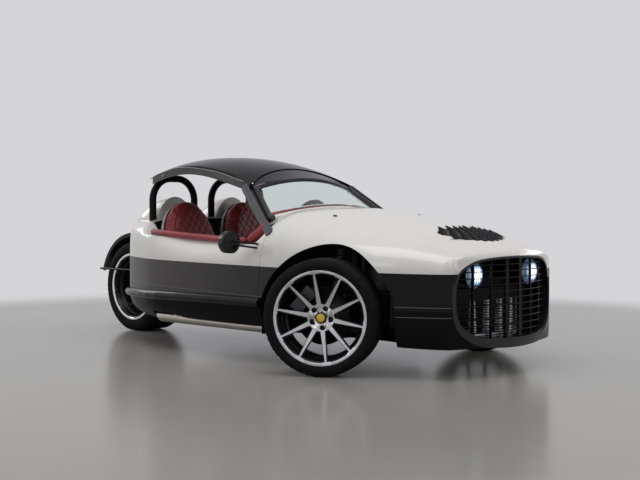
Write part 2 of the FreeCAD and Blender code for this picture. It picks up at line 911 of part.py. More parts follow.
def tyre(radius, width, flange_radius):
    bead_radius = flange_radius - rim_flange_height + seat_gap
    bead_half = rim_half_width(width) - rim_flange_wall - seat_gap
    wall_half = width / 2
    shoulder_r = radius - tyre_shoulder_drop
    shoulder_half = wall_half - tyre_shoulder_tuck
    tread_half = wall_half - tyre_tread_tuck
    bead_top = flange_radius + tyre_bead_lift
    bulge_r = (bead_top + shoulder_r) / 2
    side = [(bead_radius, bead_half), (bead_top, bead_half), (bulge_r, wall_half), (shoulder_r, shoulder_half),
            (radius, tread_half)]
    return turned(side + [(r, -y) for r, y in side[::-1]])


def barrel(width, flange_radius):
    """The rim's rolled section: flanges, bead seats and a drop centre, one wall thick."""
    half = rim_half_width(width)
    bead = flange_radius - rim_flange_height
    drop = bead - rim_drop
    seat = half - rim_seat_width
    well = seat - rim_drop
    outer = [(flange_radius, -half), (flange_radius, rim_flange_wall - half), (bead, rim_flange_wall - half),
             (bead, -seat), (drop, -well), (drop, well), (bead, seat), (bead, half - rim_flange_wall),
             (flange_radius, half - rim_flange_wall), (flange_radius, half)]
    lip = flange_radius - rim_lip_height
    inner = [(lip, half), (bead - rim_wall, half - rim_flange_wall), (bead - rim_wall, seat),
             (drop - rim_wall, well), (drop - rim_wall, -well), (bead - rim_wall, -seat),
             (bead - rim_wall, rim_flange_wall - half), (lip, -half)]
    return turned(outer + inner)


def barrel_trim(width, flange_radius):
    """What lies outside the middle of the barrel's wall, where no spoke may reach."""
    half = rim_half_width(width)
    bead = flange_radius - rim_flange_height - rim_wall / 2
    drop = bead - rim_drop
    seat = half - rim_seat_width
    well = seat - rim_drop
    top = half - rim_flange_wall * spoke_trim_share
    far = 2 * flange_radius
    return turned([(bead, -width), (bead, -seat), (drop, -well), (drop, well), (bead, seat), (bead, top),
                   (far, top), (far, -width)])


def spoke(tip_radius, hub_face_y, tip_face_y):
    """A spoke lofted through three upright sections: flared root, neck and slim tip."""
    sections = []
    neck_face_y = hub_face_y + (tip_face_y - hub_face_y) * (spoke_neck_radius - spoke_root_radius) / (
        tip_radius - spoke_root_radius)
    root_wall = spoke_hub_wall - 2 * spoke_root_sink
    root_face_y = hub_face_y - spoke_root_sink
    for radius, width, face_y, wall in ((spoke_root_radius, spoke_root_width, root_face_y, root_wall),
                                        (spoke_neck_radius, spoke_neck_width, neck_face_y, spoke_hub_wall),
                                        (tip_radius, spoke_tip_width, tip_face_y, spoke_tip_wall)):
        back = width * spoke_back_share / 2
        front = width / 2
        sections.append(Part.makePolygon([
            vec(-front, face_y, radius), vec(front, face_y, radius), vec(back, face_y - wall, radius),
            vec(-back, face_y - wall, radius), vec(-front, face_y, radius),
        ]))
    return Part.makeLoft(sections, True, True)


def rim(width, flange_radius, pad_y, tip_face_y):
    """A rim with its barrel, ten spokes, hub pad, lug pockets and nuts as one casting."""
    face_y = pad_y + spoke_hub_wall
    tip_radius = flange_radius - rim_lip_height - spoke_tip_setback
    arm = spoke(tip_radius, face_y, tip_face_y).cut(barrel_trim(width, flange_radius))
    pieces = [barrel(width, flange_radius)]
    pieces.append(cross_cylinder(0, 0, pad_y, face_y, hub_pad_radius))
    for i in range(spoke_count):
        copy = arm.copy()
        copy.rotate(vec(0, 0, 0), vec(0, 1, 0), 360 * i / spoke_count + spoke_phase_deg)
        pieces.append(copy)
    whole = fused(pieces)
    pockets = []
    nuts = []
    for i in range(lug_count):
        angle = math.radians(360 * i / lug_count + spoke_phase_deg)
        x = lug_circle_radius * math.sin(angle)
        z = lug_circle_radius * math.cos(angle)
        pockets.append(cross_cylinder(x, z, face_y - lug_pocket_depth, face_y + lug_pocket_depth,
                                      lug_pocket_radius))
        nuts.append(cross_cylinder(x, z, face_y - lug_pocket_depth - seat_gap, face_y - lug_nut_setback,
                                   lug_nut_radius))
    pockets.append(cross_cylinder(0, 0, face_y - hub_cap_wall, face_y + hub_cap_wall, hub_cap_radius))
    whole = whole.cut(pockets)
    cap = cross_cylinder(0, 0, face_y - hub_cap_wall - seat_gap, face_y + hub_cap_proud,
                         hub_cap_radius - hub_cap_gap)
    return fused([whole, cap] + nuts)


def brake_disc(pad_y, spigot_start_y, ring_y):
    """Disc ring, hat and the hub spigot that turns in the bearing, as one turned piece."""
    spigot = bearing_bore_radius - pin_gap / 5
    hat_in = disc_hat_radius - disc_hat_wall
    plate_y = pad_y - disc_hat_wall
    return turned([
        (0, spigot_start_y), (spigot, spigot_start_y), (spigot, plate_y), (hat_in, plate_y), (hat_in, ring_y),
        (disc_radius, ring_y), (disc_radius, ring_y + disc_wall), (disc_hat_radius, ring_y + disc_wall),
        (disc_hat_radius, pad_y), (0, pad_y),
    ])


def steered(shape, side):
    """Turn a left-hand front piece to its rest angle, or its mirror image for the right-hand side."""
    placed = shape if side > 0 else mirrored(shape)
    placed = placed.copy()
    placed.rotate(vec(front_axle_x, side * kingpin_y, 0), vec(0, 0, 1), rest_steer_deg)
    return placed


def knuckle():
    """Left knuckle, straight ahead: bearing housing, upright with two lugs, steering arm and caliper."""
    x = front_axle_x
    y = kingpin_y
    z = front_tyre_radius
    body = cross_cylinder(x, z, y - housing_inner_reach, y + housing_outer_reach, housing_radius)
    neck = cross_cylinder(x, z, y, y + bearing_start + bearing_length, housing_neck_radius)
    low = lower_arm_z + lug_gap
    high = upper_arm_z - lug_gap
    post = box(x - upright_width / 2, x + upright_width / 2, y - upright_wall / 2, y + upright_wall / 2,
               low + lug_height / 2, high - lug_height / 2)
    lugs = []
    for z0 in (low, high - lug_height):
        lugs.append(box(x - lug_half_size, x + lug_half_size, y - lug_half_size, y + lug_half_size,
                        z0, z0 + lug_height))
    arm = box(x - steering_arm_reach, x - upright_width / 3, y - steering_arm_width / 2,
              y + steering_arm_width / 2, steering_arm_z, steering_arm_z + steering_arm_wall)
    eye = upright_cylinder(x - steering_arm_reach, y, steering_arm_z, steering_arm_z + steering_arm_wall,
                           steering_arm_width / 2)
    disc_in = y + disc_inner_reach
    disc_out = disc_in + disc_wall
    saddle_top = disc_radius + caliper_clearance + caliper_wall
    caliper = box(-caliper_length / 2, caliper_length / 2, disc_in - caliper_clearance - caliper_inner_wall,
                  disc_out + caliper_clearance + caliper_outer_wall, disc_radius - caliper_reach, saddle_top)
    slot = box(-caliper_length, caliper_length, disc_in - caliper_clearance, disc_out + caliper_clearance,
               0, disc_radius + caliper_clearance)
    caliper = caliper.cut(slot)
    bracket = box(-upright_width / 2, upright_width / 2, disc_in - caliper_clearance - caliper_inner_wall,
                  disc_in - caliper_clearance, housing_bore_radius, disc_radius - caliper_reach / 2)
    caliper = caliper.fuse(bracket)
    caliper.rotate(vec(0, 0, 0), vec(0, 1, 0), 90 - caliper_angle_deg)
    caliper.translate(vec(x, 0, z))
    whole = fused([body, neck, post, arm, eye, caliper] + lugs)
    cavity = cross_cylinder(x, z, y - 2 * housing_inner_reach, y + bearing_start, housing_bore_radius)
    bearing = cross_cylinder(x, z, y, y + 2 * bearing_start, bearing_bore_radius)
    pins = upright_cylinder(x, y, low - lug_height, low + lug_height, ball_pin_radius + pin_gap)
    pins_high = upright_cylinder(x, y, high - lug_height, high + lug_height, ball_pin_radius + pin_gap)
    return whole.cut([cavity, bearing, pins, pins_high])


# Suspension

def arm_pivot_y():
    return subframe_y + subframe_tube / 2 + arm_pivot_radius + seat_gap


def suspension_arm(pivot_z, tip_z, spread, pin_end_z):
    """Left A-arm: two bushes on the subframe, two tubes, a boss and the ball pin in the knuckle's lug."""
    x = front_axle_x
    tip = vec(x, kingpin_y, tip_z)
    pieces = []
    for sign in (-1, 1):
        pivot = vec(x + sign * spread, arm_pivot_y(), pivot_z)
        pieces.append(rod(pivot - vec(arm_pivot_length / 2, 0, 0), pivot + vec(arm_pivot_length / 2, 0, 0),
                          arm_pivot_radius))
        pieces.append(rod(pivot, tip, arm_tube_radius))
    pieces.append(upright_cylinder(x, kingpin_y, tip_z - arm_boss_height / 2, tip_z + arm_boss_height / 2,
                                   arm_boss_radius))
    low = min(tip_z, pin_end_z)
    high = max(tip_z, pin_end_z)
    pieces.append(upright_cylinder(x, kingpin_y, low, high, ball_pin_radius))
    return fused(pieces)


def tie_rod_x():
    """Where the tie rods' outer ends lie along the car at the stored steering angle."""
    return front_axle_x - steering_arm_reach * math.cos(math.radians(rest_steer_deg))


def coil_points():
    share = (kingpin_y - coil_foot_y) / (kingpin_y - arm_pivot_y())
    x = front_axle_x - arm_spread * share
    foot_z = lower_arm_z + (lower_pivot_z - lower_arm_z) * share + arm_tube_radius + coil_foot_lift
    return vec(x, coil_foot_y, foot_z), vec(x, coil_top_y, tower_top_z)


def coilover():
    """Left spring unit: rod, damper body and a spring turned as one ribbed outline, with an eye at each end."""
    foot, top = coil_points()
    length = (top - foot).Length
    start = length * coil_start_share
    pitch = length * (coil_end_share - coil_start_share) / coil_turns
    outline = [(0, 0), (coil_body_radius, 0), (coil_body_radius, start)]
    for i in range(coil_turns):
        low = start + pitch * i
        inner_radius = coil_spring_radius - coil_wire_radius
        outline += [(inner_radius, low), (coil_spring_radius, low + pitch / 4),
                    (coil_spring_radius, low + pitch / 2), (inner_radius, low + pitch * 3 / 4)]
    end = start + pitch * coil_turns
    outline += [(coil_rod_radius, end), (coil_rod_radius, length), (0, length)]
    unit = turned(outline)
    unit.rotate(vec(0, 0, 0), vec(1, 0, 0), 90)
    lean = math.degrees(math.atan2(foot.y - top.y, top.z - foot.z))
    unit.rotate(vec(0, 0, 0), vec(1, 0, 0), lean)
    unit.translate(foot)
    cross = vec(coil_eye_half, 0, 0)
    eyes = [rod(end_point - cross, end_point + cross, coil_foot_lift - seat_gap) for end_point in (foot, top)]
    return fused([unit] + eyes)


def subframe():
    """Left half of the front frame: two rails, uprights, spring tower, and engine mounts."""
    half = subframe_tube / 2
    y0 = subframe_y - half
    y1 = subframe_y + half
    rails = []
    for z in (subframe_low_z, subframe_high_z):
        rails.append(box(subframe_rear_x, subframe_front_x, y0, y1, z, z + subframe_tube))
    rack_x = tie_rod_x()
    rails.append(box(rack_x - half, rack_x + half, 0, y0 + half, subframe_low_z,
                     rack_z - rack_radius - seat_gap))
    rails.append(box(subframe_rear_x, subframe_rear_x + subframe_tube, 0, y0 + half, subframe_low_z,
                     subframe_low_z + subframe_tube))
    foot, top = coil_points()
    high_end = subframe_high_z + subframe_tube
    for x in (subframe_rear_x + half, front_axle_x - arm_spread, front_axle_x + arm_spread,
              subframe_front_x - half):
        rails.append(box(x - half, x + half, y0, y1, subframe_low_z, high_end))
        foot_block = box(x - half, x + half, y0, y1, 0, subframe_low_z + half)
        rails.append(foot_block.common(hull_inside))
    tower_z = top.z + coil_foot_lift
    rails.append(box(top.x - half, top.x + half, y0, y1, subframe_high_z, tower_z + tower_plate_wall))
    rails.append(box(top.x - subframe_tube, top.x + subframe_tube, y0, top.y + subframe_tube, tower_z,
                     tower_z + tower_plate_wall))
    for x in (engine_x + half - engine_length / 2, engine_x - half + engine_length / 2):
        rails.append(box(x - half, x + half, engine_half_width, y0 + half, subframe_high_z, high_end))
    return rails[0].multiFuse(rails[1:])


def seat_turned(shape, side, tilt_deg, x, z):
    """Turn a seat piece back by its tilt and set it at its place on one side of the car."""
    placed = shape.copy()
    placed.rotate(vec(0, 0, 0), vec(0, 1, 0), -tilt_deg)
    placed.translate(vec(x, side * seat_y, z))
    return placed


def seat_plinths():
    """Raised parts of the floor that the two cushions lie on."""
    half_width = seat_width / 2 - plinth_inset
    blank = box(-seat_cushion_depth + plinth_inset, -plinth_inset, -half_width, half_width,
                -seat_cushion_height - floor_z, -seat_cushion_height - seat_gap)
    above_floor = box(bulkhead_x, dash_rear_x, -body_half_width, body_half_width,
                      floor_z - floor_wall, body_height)
    return [seat_turned(blank, side, seat_cushion_tilt_deg, seat_front_x, seat_front_z).common(above_floor)
            for side in (1, -1)]


def seat_panels():
    """A slanted sheet behind each seat back, with a shelf that ties its top to the bulkhead."""
    half_width = seat_width / 2
    panels = []
    for side in (1, -1):
        sheet = box(-seat_back_wall - seat_gap - seat_panel_wall, -seat_back_wall - seat_gap,
                    -half_width, half_width, -seat_back_length, seat_back_length)
        sheet = seat_turned(sheet, side, seat_back_tilt_deg, seat_back_foot_x, seat_back_foot_z)
        shelf = box(bulkhead_x - bulkhead_wall / 2, seat_back_foot_x, side * seat_y - half_width,
                    side * seat_y + half_width, seat_panel_top_z - seat_panel_wall, seat_panel_top_z)
        front = box(-2 * seat_back_length, -seat_back_wall - seat_gap, -2 * half_width, 2 * half_width,
                    -2 * seat_back_length, 2 * seat_back_length)
        front = seat_turned(front, side, seat_back_tilt_deg, seat_back_foot_x, seat_back_foot_z)
        zone = box(bulkhead_x - bulkhead_wall / 2, dash_rear_x, -body_half_width, body_half_width, floor_z,
                   seat_panel_top_z)
        panels.append(sheet.common(zone))
        panels.append(shelf.common(front))
    return panels


def seat_back():
    """A padded back with an arched top and rounded edges all round."""
    half = seat_width / 2
    shoulder_z = seat_back_length * seat_shoulder_share
    oval = Part.Ellipse(vec(0, 0, seat_back_length), vec(0, half, shoulder_z), vec(0, 0, shoulder_z))
    outline = Part.Wire([
        Part.LineSegment(vec(0, -half, shoulder_z), vec(0, -half, 0)).toShape(),
        Part.LineSegment(vec(0, -half, 0), vec(0, half, 0)).toShape(),
        Part.LineSegment(vec(0, half, 0), vec(0, half, shoulder_z)).toShape(),
        Part.ArcOfEllipse(oval, -math.pi / 2, math.pi / 2).toShape(),
    ])
    back = Part.Face(outline).extrude(vec(-seat_back_wall, 0, 0))
    return back.makeFillet(seat_round, back.Edges)


# Hood vent

def hull_top_z(x, y):
    column = Part.makeLine(vec(x, y, ridge_z), vec(x, y, body_height + cut_overrun))
    return column.common(hull).BoundBox.ZMax


def vent_scale(x, y):
    """A pointed scale: its foot follows the hood and its tip stands up behind, over the next scale."""
    front_x = x + scale_length / 2
    rear_x = x - scale_length / 2
    front_z = hull_top_z(front_x, y) + vent_lift - scale_sink
    rear_z = hull_top_z(rear_x, y) + vent_lift - scale_sink
    wide = scale_width / 2
    slim = wide * scale_tail_share
    foot = Part.makePolygon([vec(front_x, y - wide, front_z), vec(front_x, y + wide, front_z),
                             vec(rear_x, y + slim, rear_z), vec(rear_x, y - slim, rear_z),
                             vec(front_x, y - wide, front_z)])
    tip = Part.Vertex(vec(rear_x - scale_overhang, y, rear_z + scale_sink + scale_rise))
    return Part.makeLoft([foot, tip], True, True)


# Exhaust, swingarm and mudguard

def pivot_plates():
    """Two plates behind the bulkhead that hold the swingarm's pivot tube between them."""
    reach = swingarm_pivot_radius + pivot_plate_margin
    plates = []
    for start in (-swingarm_y - seat_gap - pivot_plate_wall, swingarm_y + swingarm_tube / 2 + seat_gap):
        plates.append(box(swingarm_pivot_x - reach, bulkhead_x - bulkhead_wall / 2,
                          start, start + pivot_plate_wall,
                          swingarm_pivot_z - reach, swingarm_pivot_z + reach))
    return plates


def exhaust_channel(wall):
    """The round groove in both sills that the pipes lie in, grown by the wall of the sill."""
    start = vec(exhaust_rear_x - exhaust_slash - wall, exhaust_y, exhaust_z)
    end = vec(exhaust_front_x + exhaust_slash, exhaust_y, exhaust_z)
    groove = rod(start, end, exhaust_radius + exhaust_channel_gap + wall)
    drop = rod(start - vec(0, 0, exhaust_radius), end - vec(0, 0, exhaust_radius),
               exhaust_radius + exhaust_channel_gap + wall)
    return both_sides(groove.fuse(drop))


def exhaust():
    """Left pipe under the sill: open end slashed at an angle, and two rings that hang it in its groove."""
    front = vec(exhaust_front_x, exhaust_y, exhaust_z)
    rear = vec(exhaust_rear_x, exhaust_y, exhaust_z)
    pipe = rod(front, rear, exhaust_radius)
    bore = rod(front - vec(exhaust_slash * 2, 0, 0), rear - vec(exhaust_slash, 0, 0),
               exhaust_radius - exhaust_wall)
    wide = 2 * exhaust_radius
    slash = prism([vec(exhaust_rear_x - wide, exhaust_y - wide, exhaust_z + exhaust_radius),
                   vec(exhaust_rear_x, exhaust_y - wide, exhaust_z + exhaust_radius),
                   vec(exhaust_rear_x + exhaust_slash, exhaust_y - wide, exhaust_z - exhaust_radius),
                   vec(exhaust_rear_x - wide, exhaust_y - wide, exhaust_z - exhaust_radius)],
                  vec(0, 2 * wide, 0))
    hangers = []
    for x in (exhaust_rear_x + exhaust_hanger_inset, exhaust_front_x - exhaust_hanger_inset):
        ring = rod(vec(x, exhaust_y, exhaust_z), vec(x + exhaust_hanger_length, exhaust_y, exhaust_z),
                   exhaust_radius + exhaust_channel_gap - seat_gap)
        hangers.append(ring.common(hull))
    return fused([pipe] + hangers).cut([bore, slash])


def tail_lamp():
    """A short round marker lamp against the rear end of the left ridge."""
    line = smooth_edge(rocker_points(1)).Curve
    start = line.value(line.FirstParameter)
    back = line.tangent(line.FirstParameter)[0] * -1
    outward = vec(0, 0, 1).cross(back).normalize() * -tail_lamp_offset
    start = start + outward + back * seat_gap
    return rod(start, start + back * tail_lamp_length, tail_lamp_radius)


def mudguard():
    """A curved guard with rolled skirts over the upper rear of the tyre."""
    def drum(radius, half):
        return cross_cylinder(rear_axle_x, rear_tyre_radius, -half, half, radius)

    outer = drum(guard_radius, guard_half_width)
    inner = drum(guard_radius - guard_wall, guard_half_width - guard_wall)
    skirt_cut = drum(guard_radius - guard_skirt, guard_half_width + guard_wall)
    ring = outer.cut(inner).cut(skirt_cut)
    reach = 2 * guard_radius
    start = math.radians(guard_start_deg)
    tip = math.radians(guard_tip_deg)
    middle = (start + tip) / 2
    centre = vec(rear_axle_x, -reach, rear_tyre_radius)
    corners = [centre]
    for angle in (start, middle, tip):
        corners.append(centre + vec(-reach * math.cos(angle), 0, reach * math.sin(angle)))
    guard = ring.common(prism(corners, vec(0, 2 * reach, 0)))
    stay_x = rear_axle_x - rear_overhang + stay_drop
    stay_z = rear_tyre_radius + guard_radius * math.sin(tip) + stay_drop
    stays = []
    for side in (1, -1):
        path = [vec(stay_x, side * (guard_half_width - guard_wall / 2), stay_z),
                vec(stay_x, side * stay_y, stay_z),
                vec(body_tail_x + well_radius, side * stay_y, stay_z)]
        stays.append(bent_tube(path, stay_radius, 3 * stay_radius).cut(hull))
    return fused([guard] + stays)


hull = Part.makeLoft([hull_section(row, 0, True) for row in hull_station_shares], True, False)
hull_inside = Part.makeLoft([hull_section(row, shell_wall, False) for row in hull_station_shares], True, True)
hull = hull.common(nose_form(0))
hull_inside = hull_inside.common(nose_form(shell_wall))
mouth = mouth_prism(0, 0, 0)
lip_prism = mouth_prism(lip_flare, 0, lip_drop)
cockpit = cockpit_cutter()
well = well_form(0)
channel = exhaust_channel(0)
hull_inside = hull_inside.cut(exhaust_channel(shell_wall))
shell = hull.cut(channel).cut(hull_inside).cut(arch_cutter()).cut(cockpit).cut(well).cut(seat_recess())
shell = shell.cut(mouth_prism(surround_wall, surround_wall, surround_wall))
lower_zone = below_paint_line(0)
front_zone = ahead_of_gap(0)
rear_zone_cut = ahead_of_gap(-panel_gap)
nodes["hood_clip"] = shell.common(front_zone).cut(lower_zone)
nodes["front_lower"] = shell.common(front_zone).common(lower_zone)
nodes["body_upper"] = shell.cut(rear_zone_cut).cut(lower_zone)
nodes["body_lower"] = shell.cut(rear_zone_cut).common(lower_zone)

nodes["rocker_ridges"] = Part.makeCompound([rocker(side).cut(hull).cut(arch_cutter()) for side in (1, -1)])
nodes["coamings"] = Part.makeCompound([coaming(side) for side in (1, -1)])

# Nose: surround with its lip, bars, fins, lamps and radiator
surround = mouth_prism(surround_wall, surround_wall, surround_wall).cut(mouth)
surround = surround.common(nose_slab(0, surround_depth))
lip = lip_prism.cut(mouth_prism(surround_wall, surround_wall, surround_wall))
lip = lip.common(nose_slab(-lip_proud, surround_depth / 2)).common(below_paint_line(lip_drop)).cut(hull)
nodes["grille_surround"] = fused([surround, lip])
bar_zone = mouth.common(nose_slab(bar_setback, bar_setback + bar_depth))
bars = []
span = mouth_top_z - mouth_bottom_z
for i in range(bar_count):
    z = mouth_bottom_z + span * (i + 1) / (bar_count + 1)
    bars.append(box(nose_x - nose_radius / 2, nose_x, -body_half_width, body_half_width, z, z + bar_height))
for i in range(slat_count):
    y = mouth_half_width * (2 * (i + 1) / (slat_count + 1) - 1)
    bars.append(box(nose_x - nose_radius / 2, nose_x, y - slat_width / 2, y + slat_width / 2, 0, body_height))
for side in (-1, 1):
    y = side * wide_slat_y
    bars.append(box(nose_x - nose_radius / 2, nose_x, y - wide_slat_width / 2, y + wide_slat_width / 2,
                    0, body_height))
nodes["grille_bars"] = fused(bars).common(bar_zone)
fins = []
base_z = mouth_bottom_z + fin_bar_height
for i in range(fin_count):
    y = fin_pitch * (i - (fin_count - 1) / 2)
    x = nose_x - nose_radius + math.sqrt(nose_radius ** 2 - y ** 2) - fin_setback
    low = fin_base_width / 2
    high = fin_tip_width / 2
    fins.append(prism([vec(x, y - low, base_z), vec(x, y + low, base_z), vec(x, y + high, base_z + fin_height),
                       vec(x, y - high, base_z + fin_height)], vec(-fin_depth, 0, 0)))
fin_reach = fin_pitch * (fin_count - 1) / 2 + fin_base_width / 2
fin_bar = box(nose_x - nose_radius / 2, nose_x, -fin_reach, fin_reach,
              mouth_bottom_z, base_z + fin_bar_height / 2)
fin_bar = fin_bar.common(nose_slab(fin_setback, fin_setback + fin_depth)).common(mouth)
nodes["grille_fins"] = fused(fins + [fin_bar])
lamps = []
for side in (-1, 1):
    y = side * lamp_y
    front_x = nose_x - nose_radius + math.sqrt(nose_radius ** 2 - lamp_y ** 2) - lamp_setback
    bowl = Part.makeCone(lamp_radius * lamp_rear_share, lamp_radius, lamp_depth,
                         vec(front_x - lamp_depth, y, lamp_z), vec(1, 0, 0))
    dish = Part.makeCone(lamp_radius * lamp_dish_share, lamp_radius - lamp_bezel, lamp_depth / 2,
                         vec(front_x - lamp_depth / 2, y, lamp_z), vec(1, 0, 0))
    eyes = []
    for angle in (45, 135, 225, 315):
        turn = math.radians(angle)
        place = vec(front_x - lamp_depth / 2 - lamp_bezel, y + lamp_eye_circle * math.cos(turn),
                    lamp_z + lamp_eye_circle * math.sin(turn))
        eyes.append(Part.makeCone(lamp_eye_radius, lamp_eye_radius * lamp_dish_share, lamp_eye_length, place,
                                  vec(1, 0, 0)))
    lamps.append(fused([bowl.cut(dish)] + eyes).common(mouth))
nodes["headlamps"] = Part.makeCompound(lamps)
radiator_x = nose_x - radiator_setback
radiator_half_width = subframe_y - subframe_tube / 2 - seat_gap
nodes["radiator"] = box(radiator_x - radiator_depth, radiator_x, -radiator_half_width, radiator_half_width,
                        radiator_bottom_z, radiator_top_z)

# Tail: fairings, wheel well and lamps
fairings = []
for side in (1, -1):
    wires = []
    for place, tall_share, wide_share in fairing_station_shares:
        x = fairing_front_x - fairing_length * place
        points = []
        for i in range(fairing_curve_points):
            angle = math.pi * i / (fairing_curve_points - 1)
            y = side * fairing_y + fairing_half_width * wide_share * math.cos(angle)
            z = fairing_foot_z + (fairing_top_z - fairing_foot_z) * tall_share * math.sin(angle)
            points.append(vec(x, y, z if 0 < i < fairing_curve_points - 1 else fairing_foot_z))
        wires.append(Part.Wire([smooth_edge(points), Part.LineSegment(points[-1], points[0]).toShape()]))
    fairings.append(Part.makeLoft(wires, True, False).cut(hull))
nodes["fairings"] = Part.makeCompound(fairings)
liner = well_form(0).cut(well_form(-well_wall)).common(hull_inside)

# Cockpit: floor, bulkhead, firewall, dash, console and seats
room = hull_inside.cut(cockpit).cut(well_form(0))
floor = box(floor_rear_x, floor_front_x, -body_half_width, body_half_width, 0, floor_z).common(hull_inside)
nodes["cockpit_floor"] = fused([floor] + seat_plinths())
wide = body_half_width
bulkhead = box(bulkhead_x - bulkhead_wall, bulkhead_x, -wide, wide, floor_z - floor_wall,
               body_height + cut_overrun).common(room)
nodes["bulkhead"] = fused([bulkhead] + seat_panels() + pivot_plates())
nodes["firewall"] = box(floor_front_x, floor_front_x + firewall_wall, -wide, wide, 0,
                        body_height + cut_overrun).common(room)
dash = box(dash_rear_x, dash_rear_x + dash_depth, -dash_half_width, dash_half_width, dash_bottom_z, dash_top_z)
lower_edges = [e for e in dash.Edges if abs(e.Vertexes[0].X - dash_rear_x) < seat_gap
               and abs(e.Vertexes[-1].X - dash_rear_x) < seat_gap and len(e.Vertexes) == 2
               and abs(e.Vertexes[0].Z - e.Vertexes[-1].Z) < seat_gap]
dash = dash.makeFillet(dash_round, lower_edges)
nodes["dash"] = dash.common(hull_inside)
console = box(bulkhead_x, dash_rear_x, -console_half_width, console_half_width,
              floor_z, floor_z + console_height)
console_edges = [e for e in console.Edges if abs(e.Vertexes[0].Z - e.Vertexes[-1].Z) < seat_gap
                 and e.Vertexes[0].Z > floor_z and abs(e.Vertexes[0].Y - e.Vertexes[-1].Y) < seat_gap]
nodes["centre_console"] = console.makeFillet(console_round, console_edges)
for name, side in (("left", 1), ("right", -1)):
    cushion = box(-seat_cushion_depth, 0, -seat_width / 2, seat_width / 2, -seat_cushion_height, 0)
    cushion = cushion.makeFillet(seat_round, cushion.Edges)
    nodes["seat_cushion_" + name] = seat_turned(cushion, side, seat_cushion_tilt_deg, seat_front_x,
                                                seat_front_z)
    nodes["seat_back_" + name] = seat_turned(seat_back(), side, seat_back_tilt_deg, seat_back_foot_x,
                                             seat_back_foot_z)

# Roof, windscreen, hoops and mirrors
roof_outer = Part.makeLoft([roof_section(row, 0, roof_edge_drop, 1) for row in roof_station_shares],
                           True, False)
roof_inner = Part.makeLoft([roof_section(row, roof_wall, roof_edge_drop * 2, roof_open_stretch_share)
                            for row in roof_station_shares], True, False)
roof_front_x = roof_rear_x + roof_length
roof_arc = (roof_half_width ** 2 + roof_edge_lead ** 2) / (2 * roof_edge_lead)
roof_trim = upright_cylinder(roof_front_x - roof_arc, 0, 0, 2 * roof_crown_z, roof_arc)
roof_trim = roof_trim.fuse(box(roof_rear_x - roof_length, roof_rear_x + roof_length / 2, -2 * wide, 2 * wide, 0,
                               2 * roof_crown_z))
nodes["roof_panel"] = roof_outer.cut(roof_inner).common(roof_trim)
tubes = windscreen_tubes()
nodes["windscreen_frame"] = tubes.cut(hull).cut(roof_outer.cut(roof_inner))
nodes["windscreen_glass"] = windscreen_blank(glass_wall).cut(tubes).cut(hull)
nodes["pillar_plates"] = both_sides(pillar_plate().cut(hull))
hoops = []
for side in (1, -1):
    points = [vec(hoop_x, side * hoop_inner_y, hoop_foot_z), vec(hoop_x, side * hoop_inner_y, hoop_top_z),
              vec(hoop_x, side * hoop_outer_y, hoop_top_z), vec(hoop_x, side * hoop_outer_y, hoop_foot_z)]
    post = upright_cylinder(hoop_x, side * fairing_y, hoop_top_z, 2 * roof_crown_z, roof_post_radius)
    hoops.append(fused([bent_tube(points, hoop_radius, hoop_bend).cut(hull), post.common(roof_inner)]))
nodes["roll_hoops"] = Part.makeCompound(hoops)
mirrors = []
for side in (1, -1):
    head = vec(mirror_x, side * mirror_y, mirror_z)
    shell_cup = rod(head - vec(mirror_depth / 2, 0, 0), head + vec(mirror_depth / 2, 0, 0), mirror_radius)
    foot_y = coaming_y(mirror_foot_x, mirror_foot_z)
    stalks = []
    for lift in (-mirror_stalk_gap / 2, mirror_stalk_gap / 2):
        foot = vec(mirror_foot_x, side * foot_y, mirror_foot_z + lift)
        stalks.append(rod(foot, head + vec(0, 0, lift), mirror_stalk_radius))
    mirrors.append(fused([shell_cup] + stalks).cut(hull))
nodes["mirrors"] = Part.makeCompound(mirrors)

# Hood vent: overlapping rows of pointed scales on a lens shaped base
vent_points = []
for i in range(vent_curve_points):
    angle = math.pi * 2 * i / (vent_curve_points - 1)
    vent_points.append(vec(vent_x + vent_length / 2 * math.cos(angle), vent_half_width * math.sin(angle), 0))
vent_points[-1] = vent_points[0]
vent_face = Part.Face(Part.Wire([smooth_edge(vent_points)]))
vent_prism = vent_face.extrude(vec(0, 0, 2 * body_height))
lifted = hull.copy()
lifted.translate(vec(0, 0, vent_lift))
scales = []
for row in range(scale_row_count):
    y = vent_half_width * (2 * (row + 0.5) / scale_row_count - 1)
    run = vent_length * math.sqrt(1 - (y / vent_half_width) ** 2)
    count = int(run / scale_pitch)
    for i in range(count):
        scales.append(vent_scale(vent_x + scale_pitch * (i - (count - 1) / 2), y))
nodes["hood_vent"] = vent_prism.common(lifted).multiFuse(scales).cut(hull)

# Chassis
left_frame = subframe()
nodes["subframe"] = left_frame.fuse(mirrored(left_frame))
nodes["engine_block"] = box(engine_x - engine_length / 2, engine_x + engine_length / 2, -engine_half_width,
                            engine_half_width, engine_bottom_z, engine_top_z)
lower_arm = suspension_arm(lower_pivot_z, lower_arm_z, arm_spread, lower_arm_z + lug_gap + lug_height)
upper_arm = suspension_arm(upper_pivot_z, upper_arm_z, upper_arm_spread, upper_arm_z - lug_gap - lug_height)
nodes["lower_arms"] = both_sides(lower_arm)
nodes["upper_arms"] = both_sides(upper_arm)
nodes["coilovers"] = both_sides(coilover())
shaft = cross_cylinder(front_axle_x, front_tyre_radius, engine_half_width, kingpin_y, shaft_radius)
ball = Part.makeSphere(joint_ball_radius, vec(front_axle_x, kingpin_y, front_tyre_radius))
nodes["half_shafts"] = both_sides(shaft.fuse(ball))
nodes["exhausts"] = both_sides(exhaust())
rest_turn = math.radians(rest_steer_deg)
rod_x = tie_rod_x()
rack_shift = -steering_arm_reach * math.sin(rest_turn)
rack_bar = cross_cylinder(rod_x, rack_z, rack_shift - rack_half_length, rack_shift + rack_half_length,
                          rack_bar_radius)
rods = [rack_bar]
